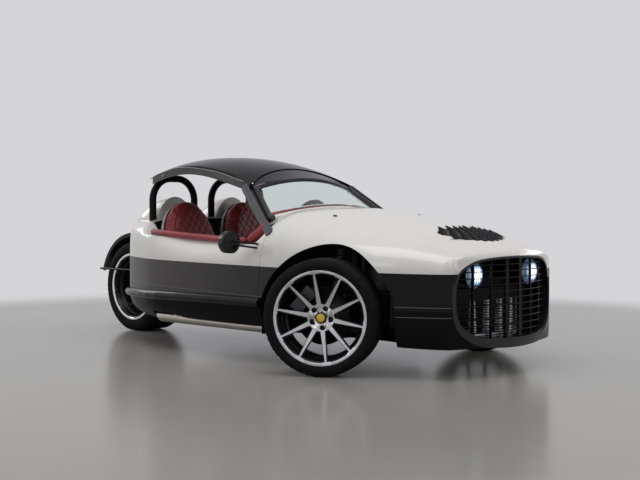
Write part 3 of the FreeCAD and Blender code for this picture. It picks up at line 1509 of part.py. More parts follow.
for side in (1, -1):
    eye_y = side * kingpin_y + rack_shift
    inner_y = rack_shift + side * rack_half_length
    rods.append(cross_cylinder(rod_x, rack_z, min(eye_y, inner_y), max(eye_y, inner_y), tie_rod_radius))
    rods.append(upright_cylinder(rod_x, eye_y, rack_z - tie_eye_wall / 2, rack_z + tie_eye_wall / 2,
                                 tie_eye_radius))
nodes["steering_rack"] = fused(rods)
housing = cross_cylinder(rod_x, rack_z, -rack_housing_half, rack_housing_half, rack_radius)
housing = housing.cut(cross_cylinder(rod_x, rack_z, -body_half_width, body_half_width,
                                     rack_bar_radius + pin_gap / 5))
nodes["rack_housing"] = housing

pads = upright_cylinder(jack_pad_x, jack_pad_y, jack_pad_z, body_height / 2, jack_pad_radius).cut(hull)
pads = pads.common(below_paint_line(body_height / 3))
nodes["jack_pads"] = both_sides(pads)
nodes["tail_lamps"] = both_sides(tail_lamp())

# Front corners: knuckle, wheel and disc for each side, turned to the stored steering angle
tyre_front = tyre(front_tyre_radius, front_tyre_width, front_flange_radius)
rim_tip_y = rim_half_width(front_tyre_width) - spoke_tip_drop
rim_front = rim(front_tyre_width, front_flange_radius, hub_face, rim_tip_y)
wheel_offset = front_wheel_y - kingpin_y
disc_front = brake_disc(hub_face, bearing_start - wheel_offset, disc_inner_reach - wheel_offset)
for name, side in (("left", 1), ("right", -1)):
    nodes["knuckle_" + name] = steered(knuckle(), side)
    for stem, shape in (("tyre", tyre_front), ("rim", rim_front), ("disc", disc_front)):
        placed = shape.copy()
        placed.translate(vec(front_axle_x, front_wheel_y, front_tyre_radius))
        nodes[stem + "_front_" + name] = steered(placed, side)

# Rear wheel with its hub on the left, swingarm, axle, shock and mudguard
rear_centre = vec(rear_axle_x, 0, rear_tyre_radius)
rear_pad = rim_half_width(rear_tyre_width) - rear_hub_setback
rear_rim = rim(rear_tyre_width, rear_flange_radius, -rear_pad, -rear_pad + rear_spoke_lean)
rear_rim = rear_rim.cut(cross_cylinder(0, 0, -rear_pad - rear_axle_reach, rear_axle_reach - rear_pad + seat_gap,
                                       rear_axle_radius + pin_gap / 5))
for stem, shape in (("tyre_rear", tyre(rear_tyre_radius, rear_tyre_width, rear_flange_radius)),
                    ("rim_rear", rear_rim)):
    placed = mirrored(shape)
    placed.translate(rear_centre)
    nodes[stem] = placed
rear_disc_bore = rear_axle_radius + pin_gap / 5
rear_disc = turned([(rear_disc_bore, rear_pad), (disc_radius, rear_pad),
                    (disc_radius, rear_pad + disc_hat_wall), (rear_disc_bore, rear_pad + disc_hat_wall)])
rear_disc.translate(rear_centre)
nodes["disc_rear"] = rear_disc
nodes["mudguard"] = mudguard()

arm_start = vec(rear_axle_x, swingarm_y, rear_tyre_radius)
arm_end = vec(swingarm_pivot_x, swingarm_y, swingarm_pivot_z)
half = swingarm_tube / 2
arm_beam = prism([arm_start + vec(0, -half, -swingarm_tube), arm_start + vec(0, -half, swingarm_tube),
                  arm_end + vec(0, -half, swingarm_tube), arm_end + vec(0, -half, -swingarm_tube)],
                 vec(0, swingarm_tube, 0))
arm_hub = cross_cylinder(rear_axle_x, rear_tyre_radius, swingarm_y - half, swingarm_y + half, rear_hub_radius)
arm_axle = cross_cylinder(rear_axle_x, rear_tyre_radius, rear_pad - rear_axle_reach, swingarm_y,
                          rear_axle_radius)
arm_pivot = cross_cylinder(swingarm_pivot_x, swingarm_pivot_z, -swingarm_y, swingarm_y + half,
                           swingarm_pivot_radius)
arm_bore = cross_cylinder(rear_axle_x, rear_tyre_radius, rear_pad, swingarm_y + half + running_gap,
                          rear_bore_radius)
swingarm = fused([arm_beam, arm_hub, arm_axle, arm_pivot]).cut(arm_bore)
nodes["swingarm"] = swingarm
shock_foot = arm_start * shock_place_share + arm_end * (1 - shock_place_share)
shock_foot = shock_foot + vec(0, 0, swingarm_tube + shock_radius)
shock_top = vec(bulkhead_x - bulkhead_wall - shock_radius, swingarm_y, shock_top_z)
along = (shock_top - shock_foot).normalize()
shock = rod(shock_foot - along * swingarm_tube, shock_top + along * shock_overrun, shock_radius)
behind_bulkhead = box(rear_axle_x, bulkhead_x - bulkhead_wall - seat_gap, -wide, wide, 0, body_height)
nodes["rear_shock"] = shock.common(behind_bulkhead).cut(swingarm)
clear_arm = prism([arm_start + vec(0, -half - running_gap, -swingarm_tube - running_gap),
                   arm_start + vec(0, -half - running_gap, swingarm_tube + running_gap),
                   arm_end + vec(0, -half - running_gap, swingarm_tube + running_gap),
                   arm_end + vec(0, -half - running_gap, -swingarm_tube - running_gap)],
                  vec(0, swingarm_tube + 2 * running_gap, 0))
clear_shock = rod(shock_foot - along * swingarm_tube, shock_top, shock_radius + running_gap)
nodes["wheel_well"] = liner.cut(clear_arm).cut(clear_shock)

# Steering wheel
tilt = math.radians(column_tilt_deg)
towards_driver = vec(-math.cos(tilt), 0, math.sin(tilt))
hub_centre = vec(column_x, column_y, column_z)
grip = []
for i in range(steering_grip_sides):
    angle = 2 * math.pi * i / steering_grip_sides
    grip.append(vec(steering_rim_radius + steering_grip_radius * math.cos(angle), 0,
                    steering_grip_radius * math.sin(angle)))
ring = Part.Face(Part.makePolygon(grip + [grip[0]])).revolve(vec(0, 0, 0), vec(0, 0, 1), 360)
hub = upright_cylinder(0, 0, -steering_hub_depth / 2, steering_hub_depth / 2, steering_hub_radius)
arms = [ring, hub]
for angle in (0, 180, 270):
    arm = box(0, steering_rim_radius, -steering_spoke_width / 2, steering_spoke_width / 2,
              -steering_spoke_wall / 2, steering_spoke_wall / 2)
    arm.rotate(vec(0, 0, 0), vec(0, 0, 1), angle)
    arms.append(arm)
steering = fused(arms)
steering.rotate(vec(0, 0, 0), vec(0, 0, 1), 90)
steering.rotate(vec(0, 0, 0), vec(0, 1, 0), column_tilt_deg - 90)
steering.translate(hub_centre)
nodes["steering_wheel"] = steering
column_start = hub_centre - towards_driver * (steering_hub_depth / 2 + seat_gap)
column = rod(column_start, hub_centre - towards_driver * column_length, column_radius)
nodes["steering_column"] = column.cut(nodes["dash"])

for name, shape in nodes.items():
    print(name, len(shape.Solids), round(shape.Volume / 1e6, 2), shape.isValid())
    shape.exportStep("parts/" + name + ".step")
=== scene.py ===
import json
import math

import bmesh
import bpy
import numpy as np
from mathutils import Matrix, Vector
from mathutils.bvhtree import BVHTree


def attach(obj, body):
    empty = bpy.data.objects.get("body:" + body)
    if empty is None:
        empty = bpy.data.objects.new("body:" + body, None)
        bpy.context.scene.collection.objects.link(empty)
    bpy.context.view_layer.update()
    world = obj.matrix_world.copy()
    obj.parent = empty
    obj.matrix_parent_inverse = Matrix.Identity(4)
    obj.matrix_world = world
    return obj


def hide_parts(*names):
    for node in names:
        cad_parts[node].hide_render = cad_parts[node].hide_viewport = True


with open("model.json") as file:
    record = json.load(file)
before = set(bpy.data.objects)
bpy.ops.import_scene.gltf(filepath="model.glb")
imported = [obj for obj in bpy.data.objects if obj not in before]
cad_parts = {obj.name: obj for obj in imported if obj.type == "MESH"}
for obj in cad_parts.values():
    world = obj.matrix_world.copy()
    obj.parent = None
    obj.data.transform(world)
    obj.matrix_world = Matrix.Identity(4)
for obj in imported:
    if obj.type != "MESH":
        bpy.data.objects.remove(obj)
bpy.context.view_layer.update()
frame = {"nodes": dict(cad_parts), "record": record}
scene = bpy.context.scene
nodes = frame["nodes"]
node_body = {n: b for b, members in frame["record"]["behaviour"]["bodies"].items() for n in members}
node_slot = {part["node"]: part["material_slot"] for part in frame["record"]["subparts"]}
scene.view_settings.view_transform = "Standard"

# The car's own places, in metres, as in the construction model
front_axle_x = 1.0765
rear_axle_x = -1.4735
kingpin_y = 0.7
front_wheel_out = 0.06
front_wheel_z = 0.320
rear_wheel_z = 0.328
rest_steer = math.radians(30.5)
upwards = np.array([0, 0, 1.0])
sides = (("right", -1), ("left", 1))


# Finishes

class Nodes:
    """The node tree of a material or a world, with one short call for each kind of node. Noise reads the object's
    own coordinates, and a value that is fed to an input is either another node's output or a plain setting."""

    def __init__(self, owner):
        owner.use_nodes = True
        self.owner = owner
        self.tree = owner.node_tree
        self.place = self.node("ShaderNodeTexCoord").outputs["Object"]

    def feed(self, socket, value):
        if isinstance(value, bpy.types.NodeSocket):
            self.tree.links.new(value, socket)
        else:
            socket.default_value = value

    def node(self, kind, inputs=(), **settings):
        made = self.tree.nodes.new(kind)
        for key, value in settings.items():
            setattr(made, key, value)
        for key, value in dict(inputs).items():
            self.feed(made.inputs[key], value)
        return made

    def surface(self, values):
        """Feeds the shader's own inputs and gives the material back."""
        for key, value in values.items():
            self.feed(self.tree.nodes["Principled BSDF"].inputs[key], value)
        return self.owner

    def step(self, operation, *values):
        """One arithmetic step."""
        return self.node("ShaderNodeMath", enumerate(values), operation=operation).outputs[0]

    def parts(self, vector=None):
        """The three places of a vector, by default of the object's coordinates."""
        split = self.node("ShaderNodeSeparateXYZ", {"Vector": vector or self.place})
        return [split.outputs[letter] for letter in "XYZ"]

    def noise(self, scale, detail=3.0, stretch=None):
        """Noise, stretched along one axis where a finish is brushed."""
        place = self.place
        if stretch:
            place = self.node("ShaderNodeMapping", {"Vector": place, "Scale": stretch}).outputs["Vector"]
        return self.node("ShaderNodeTexNoise", {"Scale": scale, "Detail": detail, "Vector": place}).outputs["Fac"]

    def ramp(self, factor, dark, light, low=0.35, high=0.65):
        """A ramp from one colour to another as the factor rises."""
        made = self.node("ShaderNodeValToRGB", {"Fac": factor})
        for stop, position, colour in zip(made.color_ramp.elements, (low, high), (dark, light)):
            stop.position = position
            stop.color = (*colour, 1)
        return made.outputs["Color"]

    def spread(self, factor, low, high):
        """The factor mapped to a range."""
        return self.node("ShaderNodeMapRange", {"To Min": low, "To Max": high, "Value": factor}).outputs["Result"]

    def mix(self, factor, first, second, **settings):
        """One colour or another, by a factor."""
        made = self.node("ShaderNodeMix", data_type="RGBA", **settings)
        for key, value in (("Factor", factor), ("A", first), ("B", second)):
            self.feed(made.inputs[key], value)
        return made.outputs["Result"]

    def bump(self, height, strength, distance):
        """The surface's normal, bumped by a height."""
        return self.node("ShaderNodeBump", {"Strength": strength, "Distance": distance,
                                            "Height": height}).outputs["Normal"]

    def line(self, distance, half_width):
        """One on a line of some half width and nothing off it, from the distance to the line."""
        return self.step("LESS_THAN", self.step("ABSOLUTE", distance), half_width)


def material(name):
    """The nodes of a new material."""
    return Nodes(bpy.data.materials.new(name))


def painted(name, colour, rough, metallic=0.0, coat=0.0, tone=0.06, scale=6.0, grain=300.0,
            strength=0.1, distance=0.0004, stretch=None, specular=0.5):
    """A finish with a slow colour drift, uneven gloss and a fine grain, all from noise on object coordinates."""
    m = material(name)
    dark = tuple(c * (1 - tone) for c in colour)
    light = tuple(min(1, c * (1 + tone)) for c in colour)
    m.surface({"Base Color": m.ramp(m.noise(scale), dark, light),
               "Roughness": m.spread(m.noise(scale * 5, 4, stretch), *rough),
               "Normal": m.bump(m.noise(grain, 4, stretch), strength, distance),
               "Metallic": metallic, "Coat Weight": coat, "Coat Roughness": 0.04, "Specular IOR Level": specular})
    return m


def finish(name, colour, rough, **more):
    """The same finish as a plain material."""
    return painted(name, colour, rough, **more).owner


paint_ivory = finish("ivory_paint", (0.70, 0.685, 0.65), (0.22, 0.30), coat=0.8, tone=0.015, grain=900, strength=0.003)
black_gloss = finish("gloss_black", (0.005, 0.005, 0.006), (0.14, 0.22), coat=0.08, tone=0.1, grain=700, strength=0.004,
                     specular=0.22)
black_satin = finish("satin_black", (0.005, 0.005, 0.006), (0.34, 0.48), tone=0.15, grain=420, strength=0.12,
                     specular=0.11)
liner_black = finish("liner_plastic", (0.006, 0.006, 0.007), (0.22, 0.34), tone=0.15, grain=300, strength=0.2,
                     specular=0.3)
lip_satin = finish("lip_satin", (0.012, 0.012, 0.013), (0.26, 0.36), tone=0.12, grain=420, strength=0.06, specular=0.4)
vent_black = finish("vent_black", (0.004, 0.004, 0.005), (0.35, 0.5), tone=0.15, grain=420, strength=0.1, specular=0.03)
grille_black = finish("grille_black", (0.004, 0.004, 0.005), (0.3, 0.42), tone=0.15, grain=420, strength=0.1,
                      specular=0.12)
# Grey for the seat shells, which are body white: painted shade.
shaded_shell_grey = finish("shaded_shell_grey", (0.36, 0.36, 0.345), (0.4, 0.52), tone=0.05, grain=500, strength=0.12, specular=0.35)
bright = finish("bright_metal", (0.80, 0.81, 0.83), (0.08, 0.18), metallic=1.0, tone=0.03, grain=260, strength=0.03)
steel_brushed = finish("brushed_steel", (0.46, 0.43, 0.38), (0.18, 0.30), metallic=1.0, tone=0.08, grain=160,
                       strength=0.08, stretch=(0.05, 1, 1))
cast_metal = finish("cast_alloy", (0.09, 0.09, 0.095), (0.42, 0.6), metallic=1.0, tone=0.15, grain=350, strength=0.35,
                    distance=0.0006)
frame_black = finish("frame_paint", (0.010, 0.010, 0.011), (0.35, 0.5), tone=0.15, grain=300, strength=0.15,
                     specular=0.25)
carpet = finish("carpet", (0.020, 0.020, 0.020), (0.9, 1.0), tone=0.3, scale=40, grain=1400, strength=0.9,
                distance=0.002, specular=0.1)
disc_iron = finish("disc_iron", (0.085, 0.083, 0.080), (0.28, 0.42), metallic=1.0, tone=0.2, scale=20, grain=500,
                   strength=0.1)
gold_cap = finish("cap_yellow", (0.72, 0.47, 0.02), (0.25, 0.35), coat=0.5, tone=0.04)
red_lens = finish("red_lens", (0.45, 0.006, 0.006), (0.08, 0.12), coat=1.0, tone=0.05, scale=60, grain=900)
grip_leather = finish("grip_leather", (0.022, 0.021, 0.021), (0.5, 0.62), tone=0.2, scale=30, grain=900, strength=0.35)
# Pale grey for the painted highlight along the roof's edges.
highlight_grey = finish("highlight_grey", (0.30, 0.305, 0.31), (0.35, 0.5), tone=0.06, grain=500, strength=0.1)
pillar_grey = finish("pillar_grey", (0.060, 0.061, 0.063), (0.30, 0.42), tone=0.08, grain=500, strength=0.08,
                     specular=0.3)
mirror_face = finish("mirror_face", (0.86, 0.88, 0.90), (0.01, 0.03), metallic=1.0, tone=0.01, strength=0.0)

def roof_finish():
    """Gloss black over the top, and grey on the upright sides, where the surface looks across the car: painted
    reflection.
    """
    m = material("roof_black_and_reflection")
    across = m.parts(m.node("ShaderNodeTexCoord").outputs["Normal"])[1]
    # The grey on the sides that look across the car is painted reflection on the black panel.
    upright = m.step("GREATER_THAN", m.step("ABSOLUTE", across), 0.85)
    black = m.ramp(m.noise(6), (0.003, 0.003, 0.0035), (0.005, 0.005, 0.006))
    return m.surface({"Base Color": m.mix(upright, black, (0.105, 0.105, 0.107, 1)),
                      "Roughness": m.spread(m.noise(30, 4), 0.16, 0.24),
                      "Normal": m.bump(m.noise(700), 0.004, 0.0004), "Specular IOR Level": 0.08})


def slate_finish():
    """Dark slate paint, lightened from the nose towards the rear by a painted reflection, with one pale coach line
    above the sill ridge, two more as wide on the panels beside the grille, the hairline joint of the rear side panel,
    and black below the ridge. A line is where the height above its own level, or the distance along the car from its
    place, is nearly zero."""
    m = material("slate_paint_and_reflection")
    x, _, z = m.parts()
    # The ramp from near black at the nose to mid grey at the rear is painted reflection of the pale wall on the dark
    # paint.
    rear_reflection_ramp = m.ramp(m.step("DIVIDE", m.step("SUBTRACT", 1.3, x), 2.3),
                      (0.0050, 0.0048, 0.0058), (0.105, 0.100, 0.098), 0.0, 1.0)
    ridge_z = 0.366
    low = m.step("LESS_THAN", z, ridge_z)
    colour = m.mix(1.0, m.mix(low, rear_reflection_ramp, (0.0055, 0.0055, 0.0062, 1)),
                   m.ramp(m.noise(5), (0.94, 0.94, 0.94), (1.0, 1.0, 1.0)), blend_type="MULTIPLY")
    line_half = 0.0016
    side_line = m.line(m.step("ADD", z, m.step("MULTIPLY_ADD", x, 0.018, -0.403)), line_half)
    panel_lines = m.step("MAXIMUM", *[m.line(m.step("SUBTRACT", z, level), line_half) for level in (0.386, 0.333)])
    lines = m.step("MAXIMUM", m.step("MULTIPLY", side_line, m.step("LESS_THAN", x, 0.6)),
                   m.step("MULTIPLY", panel_lines, m.step("GREATER_THAN", x, 1.4)))
    colour = m.mix(m.step("MULTIPLY", lines, 0.8), colour, (0.17, 0.17, 0.175, 1))
    joint = m.line(m.step("SUBTRACT", x, -0.550), 0.0018)
    return m.surface({"Base Color": m.mix(joint, colour, (0.004, 0.004, 0.004, 1)),
                      "Roughness": m.step("MULTIPLY_ADD", low, -0.12, m.spread(m.noise(25, 4), 0.28, 0.38)),
                      "Normal": m.bump(m.noise(900), 0.02, 0.0004),
                      "Specular IOR Level": m.step("MULTIPLY_ADD", low, -0.12, 0.18)})


def fin_finish():
    """Bright cast fins with level ribs: bright where the height, taken in steps of 14 mm, is in its upper part, and
    dark in its lower part, which is painted shade under each rib.
    """
    m = material("ribbed_fins")
    rib = m.step("GREATER_THAN", m.step("FRACT", m.step("MULTIPLY", m.parts()[2], 71.0)), 0.42)
    drift = m.noise(60)
    metal = m.ramp(drift, (0.62, 0.63, 0.65), (0.78, 0.79, 0.81))
    # The dark lower band of each step is painted shade.
    return m.surface({"Base Color": m.mix(rib, (0.03, 0.03, 0.032, 1), metal), "Roughness": m.spread(drift, 0.2, 0.34),
                      "Metallic": 0.3, "Normal": m.bump(rib, 0.6, 0.002)})


def core_finish():
    """A radiator's core: a fine grid of level and upright fins, with painted shade dark between them."""
    m = material("radiator_core")
    _, y, z = m.parts()
    # The grid's lines are the gaps between fins, painted near black as shade.
    web = m.step("MAXIMUM", m.step("GREATER_THAN", m.step("FRACT", m.step("MULTIPLY", y, 130.0)), 0.7),
                 m.step("GREATER_THAN", m.step("FRACT", m.step("MULTIPLY", z, 60.0)), 0.8))
    drift = m.noise(30)
    fins = m.ramp(drift, (0.009, 0.009, 0.010), (0.016, 0.016, 0.017))
    return m.surface({"Base Color": m.mix(web, (0.002, 0.002, 0.002, 1), fins), "Roughness": m.spread(drift, 0.5, 0.65),
                      "Specular IOR Level": 0.2, "Normal": m.bump(web, 0.5, 0.002)})


def screen_frame_finish():
    """Black frame paint, with the bar along the screen's foot in the body's ivory: the part of the frame inside
    its corners that lies under a level which falls with the square of the place across."""
    m = painted("screen_frame", (0.007, 0.007, 0.008), (0.18, 0.28), coat=0.2, tone=0.1, grain=700, strength=0.02,
                specular=0.3)
    _, y, z = m.parts()
    level = m.step("ADD", z, m.step("MULTIPLY", m.step("MULTIPLY", y, y), 0.215))
    foot = m.step("MULTIPLY", m.step("LESS_THAN", level, 0.928), m.step("LESS_THAN", m.step("ABSOLUTE", y), 0.503))
    black = m.tree.nodes["Principled BSDF"].inputs["Base Color"].links[0].from_socket
    return m.surface({"Base Color": m.mix(foot, black, (0.72, 0.705, 0.67, 1))})


def leather_finish(name, colour, shaded_seams=False):
    """Grained leather: cell shaped pebbles, a slow drift of colour and a soft sheen. On a sewn piece painted shade
    darkens the colour in the piece's own channels, whose closeness its mesh stores point by point."""
    m = material(name)
    tone = m.ramp(m.noise(9), tuple(c * 0.84 for c in colour), tuple(c * 1.10 for c in colour))
    if shaded_seams:
        channel = m.node("ShaderNodeAttribute", attribute_name="channel").outputs["Fac"]
        # Painted shade: the colour darkens in the sewn channels.
        tone = m.mix(m.step("MULTIPLY", channel, 0.62), tone, (*[c * 0.22 for c in colour], 1))
    cells = m.node("ShaderNodeTexVoronoi", {"Scale": 520, "Vector": m.place}, feature="DISTANCE_TO_EDGE")
    return m.surface({"Base Color": tone, "Roughness": m.spread(m.noise(60, 4), 0.40, 0.56),
                      "Normal": m.bump(cells.outputs["Distance"], 0.35, 0.0006), "Sheen Weight": 0.12,
                      "Specular IOR Level": 0.4})


def glass_finish(name, colour):
    """Clear glass with a faint drift of its tint."""
    m = material(name)
    return m.surface({"Base Color": m.ramp(m.noise(3), tuple(c * 0.98 for c in colour), colour),
                      "Transmission Weight": 1.0, "Roughness": 0.0, "IOR": 1.45})


def lamp_finish(name, centre):
    """A lit lamp face: cool white light that fades from its bright middle to its edge by the distance from the
    centre, broken into upright flutes."""
    m = material(name)
    away = m.node("ShaderNodeVectorMath", {0: m.place, 1: centre}, operation="DISTANCE").outputs["Value"]
    fade = m.node("ShaderNodeMapRange", {"From Min": 0.004, "From Max": 0.064, "To Min": 1.0, "To Max": 0.0,
                                         "Value": away}, interpolation_type="SMOOTHSTEP").outputs["Result"]
    flute = m.step("MULTIPLY_ADD", m.step("SINE", m.step("MULTIPLY", m.parts()[1], 330.0)), 0.4, 0.6)
    light = m.step("MULTIPLY", m.step("MULTIPLY", fade, flute), m.spread(m.noise(90, 2), 0.2, 1.6))
    return m.surface({"Emission Strength": m.step("MULTIPLY_ADD", light, 5.0, 0.12),
                      "Emission Color": m.ramp(fade, (0.35, 0.58, 0.95), (0.86, 0.94, 1.0), 0.1, 0.8),
                      "Base Color": m.ramp(flute, (0.03, 0.04, 0.06), (0.16, 0.19, 0.23)),
                      "Roughness": 0.1, "Coat Weight": 1.0})


def rubber_finish():
    """Tyre rubber: nearly black, finely pebbled."""
    m = material("tyre_rubber")
    return m.surface({"Base Color": m.ramp(m.noise(14), (0.0035, 0.0035, 0.004), (0.0075, 0.0072, 0.007)),
                      "Roughness": m.spread(m.noise(50), 0.55, 0.78), "Normal": m.bump(m.noise(700), 0.3, 0.0005),
                      "Specular IOR Level": 0.12})


def wheel_finish(name, axis, centre, face_share, phase, lip):
    """A cut wheel: bright where the surface looks outwards near the face and lies on the hub, on a spoke's blade or
    on the outer lip, gloss black elsewhere. With the radius and the angle about the axle, a blade is where the
    radius times the sine of the angle from the nearest spoke is under a width that shrinks towards the lip; the
    nuts' pockets are the places near five points on their circle, by the law of cosines."""
    m = material(name)
    step = m.step
    spokes, nuts = 10, 5
    hub_radius, cap_radius, nut_circle, pocket_radius = 0.074, 0.0275, 0.056, 0.0118

    def along(vector, direction):
        return m.node("ShaderNodeVectorMath", {0: vector, 1: direction}, operation="DOT_PRODUCT").outputs["Value"]

    def swing(angle, count):
        """The angle from the nearest of a count of evenly spaced places."""
        share = step("FRACT", step("MULTIPLY_ADD", step("SUBTRACT", angle, phase), count / (2 * math.pi), 0.5))
        return step("MULTIPLY", step("SUBTRACT", share, 0.5), 2 * math.pi / count)

    away = m.node("ShaderNodeVectorMath", {0: m.place, 1: centre}, operation="SUBTRACT").outputs["Vector"]
    u = along(away, tuple(np.cross(axis, upwards)))
    v = along(away, tuple(upwards))
    radius = step("SQRT", step("ADD", step("MULTIPLY", u, u), step("MULTIPLY", v, v)))
    angle = step("ARCTAN2", v, u)
    looks_out = step("GREATER_THAN", along(m.node("ShaderNodeTexCoord").outputs["Normal"], axis), 0.80)
    near_face = step("GREATER_THAN", along(away, axis), face_share)
    lateral = step("ABSOLUTE", step("MULTIPLY", radius, step("SINE", swing(angle, spokes))))
    blade = step("LESS_THAN", lateral, step("MULTIPLY_ADD", radius, -0.045, 0.0152))
    solid = step("MAXIMUM", step("MAXIMUM", blade, step("LESS_THAN", radius, hub_radius)),
                 step("GREATER_THAN", radius, lip))
    gap = step("SUBTRACT", step("MULTIPLY_ADD", radius, radius, nut_circle ** 2),
               step("MULTIPLY", step("MULTIPLY", radius, step("COSINE", swing(angle, nuts))), 2 * nut_circle))
    open_metal = step("MULTIPLY", step("GREATER_THAN", gap, pocket_radius ** 2),
                      step("GREATER_THAN", radius, cap_radius))
    cut = step("MULTIPLY", step("MULTIPLY", step("MULTIPLY", looks_out, near_face), solid), open_metal)
    metal = m.ramp(m.noise(25), (0.56, 0.56, 0.57), (0.66, 0.66, 0.67))
    return m.surface({"Base Color": m.mix(cut, (0.007, 0.007, 0.008, 1), metal), "Metallic": step("MULTIPLY", cut, 0.9),
                      "Roughness": m.spread(m.noise(200), 0.20, 0.34), "Normal": m.bump(m.noise(600), 0.05, 0.0003),
                      "Specular IOR Level": 0.3})


slate_and_reflection = slate_finish()
screen_frame_paint = screen_frame_finish()
roof_black_and_reflection = roof_finish()
ribbed_fins = fin_finish()
radiator_core = core_finish()
red_leather = leather_finish("red_leather", (0.29, 0.030, 0.040))
# This leather carries painted shade in its channels.
sewn_leather = leather_finish("sewn_red_leather", (0.23, 0.017, 0.026), True)
screen_glass = glass_finish("screen_glass", (0.80, 0.90, 0.86))
tyre_rubber = rubber_finish()


# Mesh helpers

def reworked(mesh, change):
    """The mesh after a change that works on its points, edges and faces together."""
    work = bmesh.new()
    work.from_mesh(mesh)
    change(work)
    work.to_mesh(mesh)
    work.free()
    return mesh


def adopt(mesh, name, material, body, slot, replaced, angle):
    """The mesh as a smoothly shaded piece of one material, with sharp edges above an angle, riding on a body."""
    mesh.shade_smooth()
    mesh.set_sharp_from_angle(angle=math.radians(angle))
    mesh.materials.clear()
    mesh.materials.append(material)
    piece = bpy.data.objects.new(name, mesh)
    scene.collection.objects.link(piece)
    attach(piece, body)
    if replaced:
        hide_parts(*replaced)
    return piece


def new_piece(name, points, faces, material, slot, body="root", replaced=(), angle=35.0):
    """A piece from arrays of points and faces, its faces turned to look outwards last."""
    mesh = bpy.data.meshes.new(name)
    mesh.from_pydata(points, [], faces)
    mesh.update()
    adopt(mesh, name, material, body, slot, replaced, angle)
    reworked(mesh, lambda work: bmesh.ops.recalc_face_normals(work, faces=work.faces))


def grid_faces(rows, columns, wrap_rows=False, wrap_columns=False, start=0):
    """Quads of a grid of points numbered row by row, closed round either way where asked."""
    row = np.arange(rows if wrap_rows else rows - 1)
    column = np.arange(columns if wrap_columns else columns - 1)
    r, c = np.meshgrid(row, column, indexing="ij")
    r1 = (r + 1) % rows
    c1 = (c + 1) % columns
    quads = np.stack([r * columns + c, r * columns + c1, r1 * columns + c1, r1 * columns + c], -1)
    return (quads.reshape(-1, 4) + start).tolist()


def ring_faces(rows, columns):
    """Quads between rings of points, with one flat face over each end."""
    return grid_faces(rows, columns, wrap_columns=True) + [list(range(columns)),
                                                           list(range(rows * columns - columns, rows * columns))]


def circle(count):
    """Evenly spaced angles of a full turn."""
    return np.linspace(0, 2 * np.pi, count, endpoint=False)


def read_array(items, key):
    """One vector of each of a mesh's items, as rows of three."""
    flat = np.empty(len(items) * 3)
    items.foreach_get(key, flat)
    return flat.reshape(-1, 3)


def read_points(mesh):
    """The places of the mesh's points."""
    return read_array(mesh.vertices, "co")


def read_normals(mesh):
    """The normals at the mesh's points."""
    return read_array(mesh.vertex_normals, "vector")


def write_points(mesh, points):
    """Moves the mesh's points to new places."""
    mesh.vertices.foreach_set("co", np.asarray(points, float).ravel())
    mesh.update()


def merged_copy(node):
    """The node's mesh with its loose triangles joined."""
    return reworked(nodes[node].data.copy(),
                    lambda work: bmesh.ops.remove_doubles(work, verts=work.verts, dist=1e-5))


def spline(points, count):
    """Catmull-Rom curve through the points, evaluated at evenly spaced parameters as one array."""
    p = np.asarray(points, float)
    p = np.vstack([2 * p[0] - p[1], p, 2 * p[-1] - p[-2]])
    t = np.linspace(0, len(p) - 3 - 1e-9, count)
    i = t.astype(int)
    f = (t - i)[:, None]
    a, b, c, d = p[i], p[i + 1], p[i + 2], p[i + 3]
    return 0.5 * (2 * b + (c - a) * f + (2 * a - 5 * b + 4 * c - d) * f ** 2 + (3 * b - a - 3 * c + d) * f ** 3)


def swept(path, profile, up=(0, 0, 1)):
    """A profile (across, up) carried along a path: each ring is the path's point plus the profile in the
    plane across the path, and one flat face closes each end."""
    path = np.asarray(path, float)
    along = np.gradient(path, axis=0)
    along /= np.linalg.norm(along, axis=1)[:, None]
    side = np.cross(np.broadcast_to(up, along.shape), along)
    side /= np.linalg.norm(side, axis=1)[:, None]
    rise = np.cross(along, side)
    profile = np.asarray(profile, float)
    rings = path[:, None] + profile[None, :, :1] * side[:, None] + profile[None, :, 1:] * rise[:, None]
    rows, columns = rings.shape[:2]
    *walls, first, last = ring_faces(rows, columns)
    return rings.reshape(-1, 3), [f[::-1] for f in walls] + [first, last[::-1]]


def round_profile(radius, count=14):
    """A circle as a profile to sweep."""
    return radius * np.stack([np.cos(circle(count)), np.sin(circle(count))], -1)


def tube(points, radius, count):
    """A round bar along a smooth curve through a few places."""
    return swept(spline(points, count), round_profile(radius))


# Body, cabin and chassis: the construction model's own solids with their finishes

slot_finish = {
    "body_white": paint_ivory, "body_dark": slate_and_reflection, "gloss_black": black_gloss, "satin_black": black_satin,
    "bright_metal": bright, "lamp": black_gloss, "lamp_red": red_lens, "carpet": carpet, "red_leather": red_leather,
    "glass": screen_glass, "frame_paint": frame_black, "cast_alloy": cast_metal, "steel": steel_brushed,
    "rim_alloy": black_gloss, "tyre_rubber": tyre_rubber,
}
node_finish = {
    "disc_front_left": disc_iron, "disc_front_right": disc_iron, "disc_rear": disc_iron, "radiator": radiator_core,
    "steering_wheel": grip_leather, "centre_console": black_satin, "grille_fins": ribbed_fins,
    "pillar_plates": pillar_grey, "windscreen_frame": screen_frame_paint, "grille_bars": grille_black,
    "grille_surround": lip_satin, "roof_panel": roof_black_and_reflection,
}
made_below = {
    "tyre_front_left", "tyre_front_right", "tyre_rear", "rim_front_left", "rim_front_right", "rim_rear",
    "seat_cushion_left", "seat_cushion_right", "seat_back_left", "seat_back_right", "hood_vent", "body_upper",
    "bulkhead", "swingarm",
}


def skin(node, mesh=None, material=None):
    """The node's own surface with shared corners, so that its curves shade smoothly, or a changed copy of it."""
    slot = node_slot[node]
    adopt(mesh or merged_copy(node), "skin_" + node, material or node_finish.get(node, slot_finish[slot]),
          node_body[node], slot, (node,), 28.0)


for node in nodes:
    if node not in made_below:
        skin(node)

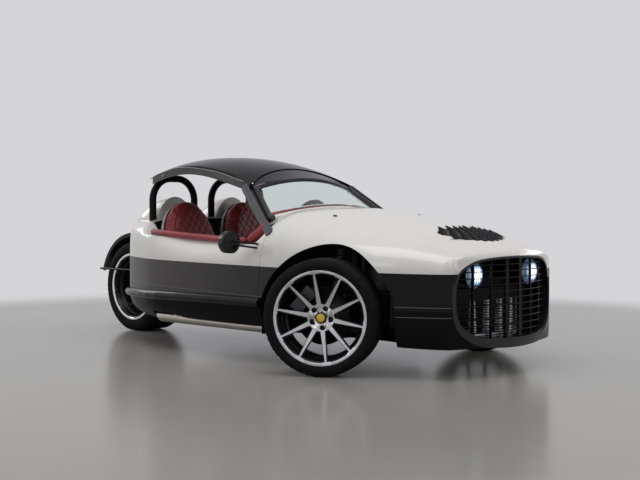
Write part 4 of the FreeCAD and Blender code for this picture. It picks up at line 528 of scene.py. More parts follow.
# Where the two ledges beside the seats dip, and the somewhat larger space in which their cells are made finer
dip_from, dip_length, dip_until, dip_outside = -0.80, 0.12, -0.56, 0.44
fine_from, fine_until, fine_outside, fine_above, fine_cell = -0.83, -0.57, 0.43, 0.71, 0.012


def finer_ledges(work):
    """Splits the long edges of both ledges in five rounds, into cells small enough to bend smoothly."""
    for _ in range(5):
        ledge = {v for v in work.verts
                 if fine_from < v.co.x < fine_until and abs(v.co.y) > fine_outside and v.co.z > fine_above}
        long_edges = [e for e in work.edges
                      if (e.verts[0] in ledge or e.verts[1] in ledge) and e.calc_length() > fine_cell]
        bmesh.ops.subdivide_edges(work, edges=long_edges, cuts=1)
    bmesh.ops.triangulate(work, faces=work.faces[:])


def dipped(node, low):
    """A node with the two ledges beside the seats dipped towards the front: of its height above a low level, each
    point ahead of the hoops keeps a share that falls smoothly from one to nothing along the ledge."""
    mesh = reworked(merged_copy(node), finer_ledges)
    points = read_points(mesh)
    x, y, z = points.T
    ahead = np.clip((x - dip_from) / dip_length, 0, 1)
    fall = ahead * ahead * (3 - 2 * ahead) * (np.abs(y) > dip_outside) * (x < dip_until)
    points[:, 2] -= np.maximum(z - low, 0) * fall
    write_points(mesh, points)
    return mesh


for node, low in (("body_upper", 0.735), ("bulkhead", 0.722)):
    skin(node, dipped(node, low))


# Seats. A pad's frame is the place, x and z, of its face's front or lower edge, and its tilt.

seat_y = 0.262
cushion_frame = (0.0165, 0.372), math.radians(9)
back_frame = (-0.4685, 0.372), math.radians(17)
shoulder = 0.3224
shell_half_width, shell_top = 0.218, 0.620
pad_half_width, pad_crown = 0.2155, 0.3045
pad_growth = 1.07
pad_shrink, pad_swell, pad_cell = 0.014, 0.022, 0.006
cloth_frames = 20
diamond_width, diamond_height = 0.058, 0.075


def evaluated(piece):
    """The piece's mesh as its modifiers make it."""
    return bpy.data.meshes.new_from_object(piece.evaluated_get(bpy.context.evaluated_depsgraph_get()))


def seat_local(points, place, tilt):
    """The points of the left seat in a pad's own frame: forward, across from its middle line, and up along it."""
    x = points[:, 0] - place[0]
    z = points[:, 2] - place[1]
    return np.stack([x * math.cos(tilt) + z * math.sin(tilt), points[:, 1] - seat_y,
                     z * math.cos(tilt) - x * math.sin(tilt)], -1)


def seat_world(local, place, tilt):
    """The reverse of seat_local."""
    return np.stack([local[:, 0] * math.cos(tilt) - local[:, 2] * math.sin(tilt) + place[0], local[:, 1] + seat_y,
                     local[:, 0] * math.sin(tilt) + local[:, 2] * math.cos(tilt) + place[1]], -1)


def swollen(node):
    """The node's solid drawn in along its normals, remeshed in even cells, blown up as cloth under pressure with
    each point's travel capped, and subdivided once."""
    mesh = merged_copy(node)
    write_points(mesh, read_points(mesh) - pad_shrink * read_normals(mesh))
    bag = bpy.data.objects.new("bag", mesh)
    scene.collection.objects.link(bag)
    even = bag.modifiers.new("even", "REMESH")
    even.mode = "VOXEL"
    even.voxel_size = pad_cell
    mesh = evaluated(bag)
    bag.modifiers.clear()
    bag.data = mesh
    start = read_points(mesh)
    cloth = bag.modifiers.new("swell", "CLOTH")
    cloth.settings.use_pressure = True
    cloth.settings.uniform_pressure_force = 4.0
    cloth.settings.effector_weights.gravity = 0.0
    cloth.point_cache.frame_start = 1
    cloth.point_cache.frame_end = cloth_frames
    for frame_number in range(1, cloth_frames + 1):
        scene.frame_set(frame_number)
    moved = read_points(evaluated(bag)) - start
    bag.modifiers.clear()
    scene.frame_set(1)
    travel = np.linalg.norm(moved, axis=1)[:, None]
    write_points(mesh, start + moved * np.minimum(1.0, pad_swell / np.maximum(travel, 1e-9)))
    finer = bag.modifiers.new("finer", "SUBSURF")
    finer.levels = 1
    finer.render_levels = 1
    mesh = evaluated(bag)
    bpy.data.objects.remove(bag)
    return mesh


def quilted(mesh, pad_frame, upright, face, low, high):
    """Diamond channels sewn into a pad's face. With a and b the sums and differences of the place across over the
    diamond's width and along over its height, the depth is greatest where a or b is whole and fades as the root
    of the product of both sines rises; round the diamonds runs one channel that follows the pad's outline."""
    local = seat_local(read_points(mesh), *pad_frame)
    across = local[:, 1]
    depth_place, along = (local[:, 0], local[:, 2]) if upright else (local[:, 2], local[:, 0])
    a = across / diamond_width + along / diamond_height
    b = across / diamond_width - along / diamond_height
    pillow = np.sqrt(np.abs(np.sin(np.pi * a)) * np.abs(np.sin(np.pi * b)))
    sewn = 1 - np.clip(pillow / 0.55, 0, 1)
    middle = (low + high) / 2
    reach = (high - low) / 2
    narrowing = np.clip((along - middle) / reach, 0, 1) if upright else 0.0
    outline = np.maximum(np.abs(across) / (0.168 * np.sqrt(np.maximum(1 - narrowing ** 2.4, 1e-6))),
                         np.abs(along - middle) / reach)
    inside = 1 - np.clip((outline - 0.97) / 0.03, 0, 1)
    border = np.exp(-((outline - 1.0) / 0.022) ** 2)
    facing = np.clip((depth_place - face) / 0.010, 0, 1)
    channel = np.maximum(sewn * inside, border) * facing
    write_points(mesh, read_points(mesh) - 0.0050 * channel[:, None] * read_normals(mesh))
    # The stored closeness also sets the painted shade in the sewn leather's channels.
    stored = mesh.attributes.new("channel", "FLOAT", "POINT")
    stored.data.foreach_set("value", channel)
    return mesh


def kept_in(mesh, pad_frame, limits):
    """The pad held inside its own space: each of its local places limited to a range, so it lies flat on its rest."""
    low, high = np.array(limits).T
    local = np.clip(seat_local(read_points(mesh), *pad_frame), low, high)
    write_points(mesh, seat_world(local, *pad_frame))
    return mesh


def inside_outline(mesh):
    """A seat back's points spread by a few percent, across and above the shoulders, and then drawn back onto the
    back's own outline: straight sides, and half an ellipse above the shoulders."""
    local = seat_local(read_points(mesh), *back_frame)
    local[:, 1] *= pad_growth
    local[:, 2] = np.where(local[:, 2] > shoulder, shoulder + (local[:, 2] - shoulder) * pad_growth, local[:, 2])
    y, z = local[:, 1], np.maximum(local[:, 2] - shoulder, 0)
    over = np.maximum(np.hypot(y / pad_half_width, z / pad_crown), 1.0)
    above = local[:, 2] > shoulder
    local[:, 1] = np.where(above, y / over, np.clip(y, -pad_half_width, pad_half_width))
    local[:, 2] = np.where(above, shoulder + z / over, local[:, 2])
    write_points(mesh, seat_world(local, *back_frame))
    return mesh


def other_side(mesh):
    """The same pad for the right seat: every point's place across changes sign and every face is turned over."""
    copy = mesh.copy()
    write_points(copy, read_points(copy) * (1, -1, 1))
    copy.flip_normals()
    return copy


cushion = kept_in(swollen("seat_cushion_left"), cushion_frame, ((-0.480, 0.004), (-0.221, 0.221), (-0.089, 0.012)))
cushion = quilted(cushion, cushion_frame, False, -0.022, -0.445, -0.060)
back = kept_in(swollen("seat_back_left"), back_frame,
               ((-0.112, 0.008), (-pad_half_width, pad_half_width), (0.0, 0.627)))
back = quilted(inside_outline(back), back_frame, True, -0.040, 0.045, 0.575)
for kind, pad in (("cushion", cushion), ("back", back)):
    for side_name, pad_mesh in (("left", pad), ("right", other_side(pad))):
        piece = adopt(pad_mesh, "sewn_" + kind + "_" + side_name, sewn_leather, "root", "red_leather",
                      ("seat_" + kind + "_" + side_name,), 80)


# Trim on the body

arch_rear, arch_front, arch_foot, arch_top = -0.540, 0.417, 0.330, 0.714
lamp_base_x, lamp_y, lamp_z, lamp_radius, lamp_bulge = 1.750, 0.262, 0.552, 0.074, 0.026


def surface_tree(names):
    """A search tree over the triangles of some nodes, for laying trim on the body."""
    points = []
    faces = []
    for name in names:
        mesh = nodes[name].data
        start = len(points)
        points += [v.co[:] for v in mesh.vertices]
        faces += [[start + i for i in p.vertices] for p in mesh.polygons]
    return BVHTree.FromPolygons(points, faces)


skin_tree = surface_tree(("hood_clip", "body_upper", "body_lower", "front_lower"))


def side_reach(x, z, fallback):
    """How far out the right side of the body lies at one place along it and height."""
    hit = skin_tree.ray_cast(Vector((x, -1.5, z)), Vector((0, 1, 0)))[0]
    return fallback if hit is None or hit.y > -0.3 else hit.y


def sided(points, faces, side):
    """A pair of points and faces as they are for the right side, or mirrored for the left with its faces turned."""
    if side < 0:
        return points, faces
    return np.asarray(points) * (1, -1, 1), [f[::-1] for f in faces]


def quarter(reach, share):
    """A quarter of the arch's edge from its widest place to its top: a cubic whose handles are shares of its sides."""
    t = np.linspace(0, 1, 26)[:, None]
    rise = arch_top - arch_foot
    a, b, c, d = (np.array(p) for p in ((reach, arch_foot), (reach, arch_foot + rise * share),
                                        (reach * share, arch_top), (0.0, arch_top)))
    return (1 - t) ** 3 * a + 3 * (1 - t) ** 2 * t * b + 3 * (1 - t) * t ** 2 * c + t ** 3 * d


def arch_path():
    """The wheel arch's edge seen from the side, from the sill behind the wheel over it to the panel in front."""
    start = np.stack([np.full(6, arch_rear), np.linspace(0.175, 0.31, 6)], -1)
    end = np.stack([np.full(5, arch_front), np.linspace(0.31, 0.20, 5)], -1)
    edge = np.vstack([start, quarter(arch_rear, 0.46), quarter(arch_front, 0.55)[::-1][1:], end])
    edge[:, 0] += front_axle_x
    return edge


def liner_surface():
    """The arch's liner: a thin wall carried along the arch's edge, from the body's skin inwards."""
    edge = arch_path()
    middle = np.array([front_axle_x, 0.33])
    outward = (edge - middle) / np.linalg.norm(edge - middle, axis=1)[:, None]
    probe = edge + 0.012 * outward
    reach = []
    for x, z in probe:
        reach.append(side_reach(x, max(z, 0.285), reach[-1] if reach else -0.69))
    path = np.column_stack([edge[:, 0], np.array(reach) + 0.003, edge[:, 1]])
    outer, inner, depth = -0.0008, 0.0022, 0.10
    wall = [(outer, 0.0), (inner, 0.0), (inner, depth / 2), (inner, depth), (outer, depth), (outer, depth / 2)]
    return swept(path, wall, up=(0, 1, 0))


def pod(centre, size, lean):
    """A closed egg: the unit sphere's points stretched to three sizes, and made wider towards its front."""
    t, r = np.meshgrid(circle(24), np.linspace(-np.pi / 2, np.pi / 2, 13))
    x = np.cos(r) * np.cos(t)
    points = np.stack([x * size[0], np.cos(r) * np.sin(t) * size[1] * (1 + lean * x), np.sin(r) * size[2]], -1)
    return points.reshape(-1, 3) + np.array(centre), grid_faces(13, 24, wrap_columns=True)


def coaming_rise():
    """The red padded band that goes on from the coaming up to the pillar's foot: a rounded bar up to three times as
    tall as it is thick, along the cockpit's edge. Each place of its path is followed by its tallness."""
    start = side_reach(0.330, 0.69, -0.68) + 0.030
    places = [(0.318, start, 0.7170, 1.0), (0.355, start + 0.008, 0.7190, 1.3), (0.388, -0.638, 0.7290, 2.0),
              (0.415, -0.622, 0.7480, 2.7), (0.445, -0.606, 0.7720, 3.0), (0.475, -0.598, 0.7950, 3.0),
              (0.496, -0.595, 0.8080, 2.6)]
    sides_round = 18
    path = spline([place[:3] for place in places], 60)
    points, faces = swept(path, round_profile(0.0125, sides_round))
    middle = np.repeat(path, sides_round, 0)
    tall = np.interp(middle[:, 0], [p[0] for p in places], [p[3] for p in places])
    points[:, 2] = middle[:, 2] + (points[:, 2] - middle[:, 2]) * tall
    return points, faces


def dash_roll():
    """The red roll under the windscreen's lower edge, bowed forwards and upwards in its middle."""
    across = np.linspace(-0.50, 0.50, 9)
    bow = 1 - (across / 0.528) ** 2
    return tube(np.stack([0.405 + 0.062 * bow, across, 0.862 + 0.052 * bow], -1), 0.014, 90)


liner = liner_surface()
rise = coaming_rise()
for side_name, side in sides:
    new_piece("arch_liner_" + side_name, *sided(*liner, side), liner_black, "satin_black")
    new_piece("coaming_rise_" + side_name, *sided(*rise, side), red_leather, "red_leather")
    nozzle = pod((0.8398, side * 0.3846, 0.8655), (0.017, 0.010, 0.0055), 0.3)
    new_piece("washer_nozzle_" + side_name, *nozzle, black_satin, "satin_black")
new_piece("dash_roll", *dash_roll(), red_leather, "red_leather")


def hood_height():
    """The hood's height as a smooth function of the place along and across: a polynomial of the fourth order along
    and even across, fitted by least squares to the hood's own outer points."""
    mesh = merged_copy("hood_clip")
    points = read_points(mesh)
    x, y, _ = points.T
    points = points[(read_normals(mesh)[:, 2] > 0.5) & (x > 1.25) & (x < 1.78) & (np.abs(y) < 0.36)]

    def terms(x, y):
        along = x - 1.5
        square = y * y
        return np.stack([along ** i * square ** j for i in range(5) for j in range(3)], -1)

    weights = np.linalg.lstsq(terms(points[:, 0], points[:, 1]), points[:, 2], rcond=None)[0]
    return lambda x, y: terms(x, y) @ weights


def vent_front(y):
    """The vent's front edge, bowed forwards."""
    return 1.690 - 1.9 * y ** 2


def vent_rear(y):
    """The vent's rear edge."""
    return 1.420 + 0.65 * y ** 2


def vent_lens(height):
    """The dark lens of the hood's own surface, 2.2 mm above it, with its edge 2 mm under it."""
    across = np.linspace(-1, 1, 41)[None]
    along = np.linspace(0, 1, 9)[:, None]
    y = 0.262 * across * np.ones_like(along)
    round_off = np.sqrt(np.maximum(1 - across ** 8, 0))
    x = (vent_front(y) + vent_rear(y)) / 2 + (along - 0.5) * (vent_front(y) - vent_rear(y)) * round_off
    edge = np.where((along > 0) & (along < 1) & (np.abs(across) < 1), 0.0022, -0.002)
    return np.stack([x, y, height(x, y) + edge], -1).reshape(-1, 3), grid_faces(9, 41)


def vent_scales(height):
    """Six rows of pointed scales over the lens, every second row set off by half a scale. A scale's points lie on a
    small grid. With the share of its length from its front edge to its tip, its top rises with the power 1.6 and its
    underside with the cube, while its width falls to nothing at the tip."""
    rows, pitch_along, pitch_across, side_points = 6, 0.042, 0.052, 5
    row, column = np.meshgrid(np.arange(rows), np.arange(-5, 6), indexing="ij")
    y = (column + 0.5 * (row % 2)) * pitch_across
    x = vent_front(y) - 0.026 - pitch_along * row
    inside = (x > vent_rear(y) + 0.012) & (np.abs(y) < 0.245)
    x = x[inside][:, None, None]
    y = y[inside][:, None, None]
    share = np.array([0.0, 0.3, 0.6, 0.85, 1.0])[None, :, None]
    lateral = np.array([-1, -0.55, 0.0, 0.55, 1])[None, None, :]
    px = x + 0.022 - 0.056 * share * (1 - 0.10 * lateral ** 2)
    py = y + 0.0265 * lateral * (1 - share ** 2.2)
    foot = height(np.clip(px, 1.3, 1.75), py)
    lift = 0.003 + 0.009 * share ** 1.6 - 0.003 * lateral ** 2 * (1 - share)
    upper = np.stack([px, py, foot + lift], -1)
    lower = np.stack([px, py, foot + 0.001 + 0.0065 * share ** 3], -1)
    count = upper.shape[0]
    points = np.concatenate([upper, lower], 1).reshape(-1, 3)
    one = grid_faces(side_points, side_points)
    one += [f[::-1] for f in grid_faces(side_points, side_points, start=25)]
    for k in range(side_points - 1):
        one.append([k, k + 1, 26 + k, 25 + k][::-1])
        one.append([5 * k, 5 * k + 5, 30 + 5 * k, 25 + 5 * k])
        one.append([5 * k + 4, 5 * k + 9, 34 + 5 * k, 29 + 5 * k][::-1])
    faces = np.array(one)[None] + 2 * side_points ** 2 * np.arange(count)[:, None, None]
    return points, faces.reshape(-1, 4).tolist()


hood = hood_height()
new_piece("vent_lens", *vent_lens(hood), grille_black, "satin_black")
new_piece("vent_scales", *vent_scales(hood), vent_black, "satin_black", replaced=("hood_vent",), angle=50)


def shade_sheet():
    """The dark sheet over the radiator, a rounded plate that closes the view through the nose above it: painted shade
    standing in for the dark inside of the nose.
    """
    count, middle_z = 48, 0.560
    turn = circle(count)
    y = 0.415 * np.sign(np.cos(turn)) * np.abs(np.cos(turn)) ** 0.35
    z = middle_z + 0.095 * np.sign(np.sin(turn)) * np.abs(np.sin(turn)) ** 0.45
    rings = [np.stack([np.full(count, x), y * grow, middle_z + (z - middle_z) * grow], -1)
             for x, grow in ((1.596, 0.02), (1.596, 1.0), (1.600, 1.0), (1.600, 0.02))]
    return np.vstack(rings), grid_faces(len(rings), count, wrap_columns=True)


# A black sheet as painted shade inside the nose.
new_piece("nose_shade_sheet", *shade_sheet(), grille_black, "satin_black")


def seat_shell():
    """The moulded shell round the back and sides of the left seat's back: the back's outline, straight below and half
    an ellipse above, grown or shrunk ring by ring from the shell's front lip to its rear face."""
    side = np.linspace(0.02, shoulder, 9)
    arc = np.linspace(0, np.pi, 33)[1:-1]
    y = np.concatenate([np.full(9, -1.0), -np.cos(arc), np.full(9, 1.0)]) * shell_half_width
    z = np.concatenate([side, shoulder + (shell_top - shoulder) * np.sin(arc), side[::-1]])
    middle = np.array([0.0, 0.30])
    outline = np.stack([y, z], -1)
    outward = outline - middle
    outward /= np.linalg.norm(outward, axis=1)[:, None]
    rings = []
    for depth, grow in ((-0.096, -0.014), (-0.086, -0.004), (-0.082, 0.001), (-0.084, 0.0035), (-0.095, 0.0035),
                        (-0.105, 0.002), (-0.116, -0.006), (-0.120, -0.022), (-0.120, -0.12), (-0.120, -0.28)):
        grown = outline + np.maximum(grow, -0.95 * np.linalg.norm(outline - middle, axis=1))[:, None] * outward
        rings.append(np.column_stack([np.full(len(y), depth), grown[:, 0], np.maximum(grown[:, 1], 0.004)]))
    return seat_world(np.vstack(rings), *back_frame), grid_faces(len(rings), len(y), wrap_columns=True)


# The left seat's shell is taken for the right side's here, so each of the two names stands on the other side.
shell = seat_shell()
for side_name, side in (("left", 1), ("right", -1)):
    # The shells' grey is painted shade on white bodywork.
    new_piece("seat_shell_" + side_name, *sided(*shell, side), shaded_shell_grey, "body_white", angle=60)


def lamp_face(y):
    """A lamp's bulging front: a dome turned about a level axis, its height falling with the fourth power of the
    distance from its middle."""
    rings, count = 14, 48
    r = np.linspace(0.0, 1.0, rings)[:, None]
    turn = circle(count)[None]
    x = np.broadcast_to(lamp_bulge * (1 - r ** 4), (rings, count))
    points = np.stack([x, lamp_radius * r * np.cos(turn), lamp_radius * r * np.sin(turn)], -1)
    return points.reshape(-1, 3) + np.array([lamp_base_x, y, lamp_z]), grid_faces(rings, count, wrap_columns=True)


for side_name, side in sides:
    light = lamp_finish("lamp_light_" + side_name, (lamp_base_x + lamp_bulge, side * lamp_y, lamp_z))
    new_piece("lamp_face_" + side_name, *lamp_face(side * lamp_y), light, "lamp")


def strip(edge_a, edge_b, thickness, count=40):
    """A thin closed strip between two curves given as functions of a share: its four long edges are the curves moved
    by half the thickness to either side, and a fifth and sixth line along its middle make it bulge to one side."""
    t = np.linspace(0, 1, count)
    a, b = edge_a(t), edge_b(t)
    along = np.gradient((a + b) / 2, axis=0)
    normal = np.cross(along, b - a)
    normal *= thickness / 2 / np.linalg.norm(normal, axis=1)[:, None]
    middle = (a + b) / 2
    ring = np.stack([a + normal, middle + 1.6 * normal, b + normal, b - normal, middle - 0.4 * normal, a - normal], 1)
    return ring.reshape(-1, 3), ring_faces(count, 6)


def bowed(half, x, x_bow, z, z_bow):
    """A curve across the car whose places along and up change with the square of the place across."""
    def at(t):
        y = half * (2 * t - 1)
        return np.stack([x + x_bow * y ** 2, y, z + z_bow * y ** 2], -1)
    return at


def straight(start, end, scale, shift):
    """The line through two places, as a function of a share that is scaled and shifted first."""
    def at(t):
        t = t[:, None] * scale + shift
        return np.array([start]) * (1 - t) + np.array([end]) * t
    return at


def pillar_foot():
    """The rounded lower end of the right grey pillar plate, lying on the body: a long rounded rectangle, each point
    lifted along one common direction until it is just clear of the body under it."""
    top, low = np.array([0.498, -0.6195, 0.804]), np.array([0.575, -0.652, 0.757])
    out = np.array([-0.12, -0.84, 0.53])
    along = (low - top) / np.linalg.norm(low - top)
    across = np.cross(out, along)
    across /= np.linalg.norm(across)
    section = ((-1, 0.0), (-0.88, 0.0055), (-0.4, 0.0065), (0.4, 0.0065), (0.88, 0.0055), (1, 0.0), (0, -0.003))
    rings = []
    for share in np.linspace(0, 1, 24):
        end = max(0.0, (share - 0.66) / 0.34)
        half = 0.029 * math.sqrt(max(1 - end ** 2, 0.0004))
        centre = top + share * (low - top)
        for c, lift in section:
            place = centre + c * half * across
            hit = skin_tree.ray_cast(Vector(place + 0.15 * out), Vector(-out))[0]
            rise = 0.0 if hit is None else max((np.array(hit) - place) @ out, 0.0)
            rings.append(place + (rise + 0.001 + lift) * out)
    return np.array(rings), ring_faces(24, len(section))


def roof_edge_highlight():
    """A painted highlight along the roof's right upper edge: a thin pale bar along the places where top and side meet.
    """
    place = np.array([0.0, 0.14, 0.36, 0.66, 0.90])
    wide = np.array([0.93, 1.0, 1.02, 1.0, 0.97]) * -0.482
    high = np.array([0.886, 0.912, 0.939, 0.913, 0.858]) * 1.25306
    return tube(np.stack([-0.8335 + 1.075 * place, wide, high - 0.001], -1), 0.0028, 80)


# The black header between the roof's front edge and the windscreen's top bar
header = strip(bowed(0.462, 0.106, 0.43, 1.1605, -0.55), bowed(0.440, 0.2285, -0.155, 1.1035, -0.285), 0.004)
# The black web between the windscreen's right pillar and the grey plate outside it
web = strip(straight((0.165, -0.484, 1.035), (0.530, -0.625, 0.765), 0.99, -0.13),
            straight((0.1985, -0.428, 1.030), (0.4395, -0.528, 0.848), 1.16, -0.16), 0.006, 12)
foot = pillar_foot()
edge_highlight = roof_edge_highlight()
new_piece("header_panel", *header, black_gloss, "gloss_black")
for side_name, side in sides:
    new_piece("pillar_foot_" + side_name, *sided(*foot, side), pillar_grey, "gloss_black")
    new_piece("pillar_web_" + side_name, *sided(*web, side), black_gloss, "gloss_black")
    # A pale bar on each roof edge, painted as its highlight.
    new_piece("roof_edge_highlight_" + side_name, *sided(*edge_highlight, side), highlight_grey, "gloss_black")


# Wheels, mirror glass and the rear axle. A tyre's size is its radius, its width and the radius of the rim's flange.

rear_centre = np.array([rear_axle_x, 0.0, rear_wheel_z])
rear_axis = np.array([0.0, -1.0, 0.0])
front_tyre_size = 0.320, 0.225, 0.258
rear_tyre_size = 0.328, 0.285, 0.246
rim_turn = math.radians(17)
cap_out = 0.077
cap_face = [(1e-5, 0.0060), (0.008, 0.0057), (0.016, 0.0048), (0.021, 0.0034), (0.0232, 0.0018), (0.0234, -0.002)]
cap_ring = [(0.0232, -0.004), (0.0232, 0.0030), (0.0240, 0.0042), (0.0258, 0.0042), (0.0268, 0.0030), (0.0268, -0.004)]
rear_lip = [(0.2300, 0.1310), (0.2340, 0.1352), (0.2400, 0.1360), (0.2452, 0.1356), (0.2456, 0.1320), (0.2400, 0.1310)]
mirror_disc = [(0.0005, 0.0018), (0.054, 0.0018), (0.056, 0.0010), (0.056, -0.0010)]
mirror_x, mirror_y, mirror_z = 0.3785, 0.82, 0.712
axle_reach, axle_thinning = 0.0246, 0.018


def wheel_place(side):
    """Centre and outward axis of a front wheel at its stored steering angle."""
    axis = side * np.array([-math.sin(rest_steer), math.cos(rest_steer), 0.0])
    centre = np.array([front_axle_x, side * kingpin_y, front_wheel_z]) + axis * front_wheel_out
    return centre, axis


def about_axle(centre, axis, radius, angle, depth):
    """Points from their radius and angle about an axle and their depth along it."""
    points = (centre + depth[..., None] * axis + (radius * np.cos(angle))[..., None] * np.cross(axis, upwards)
              + (radius * np.sin(angle))[..., None] * upwards)
    return points.reshape(-1, 3)


def tyre_surface(radius, width, flange, centre, axis):
    """A section turned about the axle: nearly flat tread with four grooves, rounded shoulders with slanted cuts,
    a bulged sidewall with two thin raised rings, and a closed inner bead."""
    half = width / 2
    shoulder_round, turns, cuts = 0.020, 288, 60
    tread = np.linspace(-1, 1, 41) * (half - shoulder_round)
    groove = np.zeros_like(tread)
    for place in (-0.60, -0.2, 0.2, 0.60):
        groove = np.maximum(groove, np.clip(1.6 - np.abs(tread - place * half) / 0.0042, 0, 1))
    crown = radius - 0.003 * (tread / half) ** 2 - 0.006 * groove
    lean = np.linspace(0.06, 1, 22)
    side_out = half - shoulder_round + shoulder_round * np.sin(lean * np.pi / 2) ** 0.8
    side_r = radius - 0.004 - (radius - flange - 0.004) * lean ** 1.6
    ring = 0.0012 * (np.exp(-((side_r - flange - 0.018) / 0.0016) ** 2)
                     + np.exp(-((side_r - flange - 0.030) / 0.0012) ** 2))
    bulge = side_out - 0.008 * np.clip((lean - 0.55) / 0.45, 0, 1) ** 2 + ring - 0.0015
    section_y = np.concatenate([tread, bulge, [half - shoulder_round, 0.0, shoulder_round - half], -bulge[::-1]])
    section_r = np.concatenate([crown, side_r, [flange - 0.012] * 3, side_r[::-1]])
    y, a = np.meshgrid(section_y, circle(turns), indexing="ij")
    r = np.repeat(section_r[:, None], turns, 1)
    near_edge = np.clip((np.abs(y) - 0.62 * half) / (0.1 * half), 0, 1) * (r > radius - 0.028)
    block = np.abs(((a * cuts / (2 * np.pi) + np.abs(y) * 9) % 1) - 0.5)
    r = r - 0.005 * near_edge * np.clip(1.8 - block / 0.055, 0, 1)
    return about_axle(centre, axis, r, a, y), grid_faces(len(section_y), turns, True, True)


def turned_disc(centre, axis, profile):
    """A profile of radius and height turned about the axle."""
    r, h = np.array(profile).T[:, :, None]
    return about_axle(centre, axis, r, circle(48), h), grid_faces(len(r), 48, wrap_columns=True)


def spoke_phase(node, centre, axis):
    """The angle of the first of ten spokes: the mean of the tenth harmonic over the rim's points between two radii."""
    away = read_points(nodes[node].data) - centre
    u = away @ np.cross(axis, upwards)
    v = away[:, 2]
    ring = (np.hypot(u, v) > 0.10) & (np.hypot(u, v) < 0.20)
    return float(np.angle(np.exp(10j * np.arctan2(v[ring], u[ring])).mean()) / 10)


def turned_rim(node, centre, axis, angle):
    """The rim's surface turned about its axle by an angle, which maps its ring of ten spokes onto the places wanted:
    across the axle, each point's two places are mixed by the angle's sine and cosine."""
    mesh = merged_copy(node)
    away = read_points(mesh) - centre
    forward = np.cross(axis, upwards)
    u, v, depth = away @ forward, away[:, 2], away @ axis
    c, n = math.cos(angle), math.sin(angle)
    write_points(mesh, centre + np.outer(u * c - v * n, forward) + np.outer(u * n + v * c, upwards)
                 + np.outer(depth, axis))
    return mesh


def thinned_axle():
    """The swingarm with its rear axle a little thinner: points close to the axle's line draw nearer to it."""
    mesh = merged_copy("swingarm")
    points = read_points(mesh)
    from_axle = points[:, [0, 2]] - rear_centre[[0, 2]]
    on_axle = np.hypot(*from_axle.T) < axle_reach
    points[:, [0, 2]] -= axle_thinning * from_axle * on_axle[:, None]
    write_points(mesh, points)
    return mesh


for name, side in (("left", 1), ("right", -1)):
    centre, axis = wheel_place(side)
    body = "wheel_front_" + name
    new_piece("front_tyre_" + name, *tyre_surface(*front_tyre_size, centre, axis), tyre_rubber, "tyre_rubber", body,
              ("tyre_front_" + name,), 40)
    rim = "rim_front_" + name
    phase = spoke_phase(rim, centre, axis) + rim_turn * side
    skin(rim, turned_rim(rim, centre, axis, rim_turn * side),
         wheel_finish("cut_wheel_" + name, tuple(axis), tuple(centre), 0.030, phase, 0.2392))
    hub = centre + axis * cap_out
    new_piece("cap_face_" + name, *turned_disc(hub, axis, cap_face), gold_cap, "rim_alloy", body)
    new_piece("cap_ring_" + name, *turned_disc(hub, axis, cap_ring), disc_iron, "rim_alloy", body)
new_piece("rear_tyre", *tyre_surface(*rear_tyre_size, rear_centre, rear_axis), tyre_rubber, "tyre_rubber",
          "wheel_rear", ("tyre_rear",), 40)
phase = spoke_phase("rim_rear", rear_centre, rear_axis)
skin("rim_rear", None, wheel_finish("cut_wheel_rear", tuple(rear_axis), tuple(rear_centre), 0.02, phase, 0.230))
for name, side in sides:
    mirror = turned_disc(np.array([mirror_x, side * mirror_y, mirror_z]), np.array([-1.0, 0, 0]), mirror_disc)
    new_piece("mirror_glass_" + name, *mirror, mirror_face, "gloss_black")
skin("swingarm", thinned_axle())
for name, axis in (("right", rear_axis), ("left", -rear_axis)):
    new_piece("rear_lip_" + name, *turned_disc(rear_centre, axis, rear_lip + rear_lip[:1]), bright, "rim_alloy",
              "wheel_rear")


# Floor, light and camera

wall_tone = (0.665, 0.662, 0.680, 1)


def seen_directly(m):
    """One for the camera and for mirrored and refracted looks, and nothing for the light that falls on things."""
    ray = m.node("ShaderNodeLightPath").outputs
    return m.step("MAXIMUM", m.step("MAXIMUM", ray["Is Camera Ray"], ray["Is Glossy Ray"]),
                  ray["Is Transmission Ray"])


def floor_finish():
    """A polished pale floor that turns into the wall's plain tone with the distance from the car."""
    m = painted("studio_floor", (0.315, 0.308, 0.295), (0.16, 0.24), tone=0.02, scale=0.8, grain=60, strength=0.0,
                specular=0.16)
    distance = m.node("ShaderNodeVectorMath", {0: m.place}, operation="LENGTH").outputs["Value"]
    far = m.node("ShaderNodeMapRange", {"From Min": 3.7, "From Max": 5.2, "Value": distance},
                 interpolation_type="SMOOTHSTEP").outputs["Result"]
    wall = m.node("ShaderNodeEmission", {"Color": wall_tone}).outputs[0]
    mixed = m.node("ShaderNodeMixShader", {0: m.step("MULTIPLY", far, seen_directly(m)),
                                           1: m.tree.nodes["Principled BSDF"].outputs[0], 2: wall})
    m.feed(m.tree.nodes["Material Output"].inputs["Surface"], mixed.outputs[0])
    return m.owner


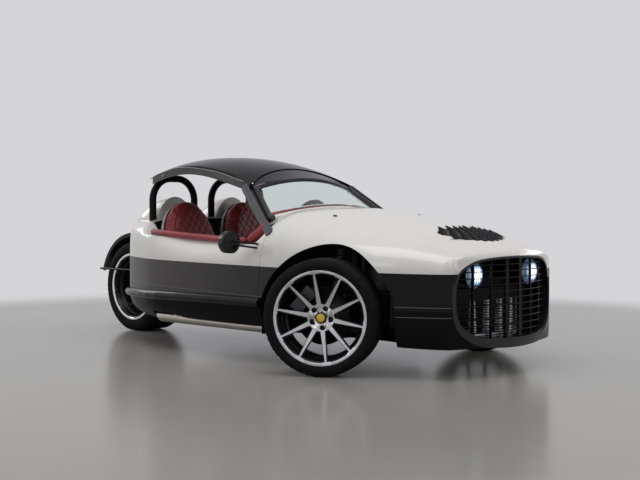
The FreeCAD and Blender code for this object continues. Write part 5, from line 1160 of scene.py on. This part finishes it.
def floor_sheet():
    """A flat disc of rings and spokes under the car."""
    ring = np.linspace(0.01, 60, 8)
    angle = circle(64)
    points = np.stack([np.outer(ring, np.cos(angle)), np.outer(ring, np.sin(angle)), np.zeros((8, 64))], -1)
    mesh = bpy.data.meshes.new("floor")
    mesh.from_pydata(points.reshape(-1, 3), [], grid_faces(8, 64, wrap_columns=True) + [list(range(64))[::-1]])
    floor = bpy.data.objects.new("floor", mesh)
    scene.collection.objects.link(floor)
    mesh.materials.append(floor_finish())
    return floor


floor_sheet()

scene.world = bpy.data.worlds.new("studio")
sky = Nodes(scene.world)
paper = sky.tree.nodes["Background"]
sky.feed(paper.inputs["Color"], (0.90, 0.90, 0.90, 1))
sky.feed(paper.inputs["Strength"], 0.62)
wall = sky.node("ShaderNodeBackground", {"Color": wall_tone})
pick = sky.node("ShaderNodeMixShader", {0: seen_directly(sky), 1: paper.outputs[0], 2: wall.outputs[0]})
sky.feed(sky.tree.nodes["World Output"].inputs["Surface"], pick.outputs[0])


def softbox(name, place, aim, size, power):
    """A rectangular area light at a place, turned towards another."""
    light = bpy.data.lights.new(name, "AREA")
    light.shape = "RECTANGLE"
    light.size, light.size_y = size
    light.energy = power
    lamp = bpy.data.objects.new(name, light)
    scene.collection.objects.link(lamp)
    lamp.location = place
    lamp.rotation_euler = (Vector(aim) - Vector(place)).to_track_quat("-Z", "Y").to_euler()


softbox("ceiling_light", (1.2, -1.2, 4.8), (0.4, 0, 0), (4.5, 3.0), 75)
softbox("front_light", (5.5, -1.2, 3.6), (0.8, 0, 0.4), (2.4, 2.4), 18)
softbox("side_light", (-0.5, -6.5, 3.0), (-0.2, 0, 0.4), (4.5, 1.6), 30)
softbox("left_light", (1.5, 6.5, 3.0), (0.0, 0, 0.4), (4.5, 1.6), 45)
softbox("rear_light", (-6.5, -0.5, 3.2), (-0.5, 0, 0.5), (2.4, 2.4), 40)

focal_pixels, picture_pixels = 1141.25, 640
heading = math.radians(44.30)
dip = math.radians(1.647)
look = Vector((-math.sin(heading) * math.cos(dip), math.cos(heading) * math.cos(dip), -math.sin(dip)))
lens = bpy.data.cameras.new("camera")
lens.sensor_width = 36.0
lens.lens = focal_pixels / picture_pixels * lens.sensor_width
lens.clip_end = 300
camera = bpy.data.objects.new("camera", lens)
scene.collection.objects.link(camera)
camera.location = (5.4265, -5.210, 0.916)
camera.rotation_euler = look.to_track_quat("-Z", "Y").to_euler()
scene.camera = camera
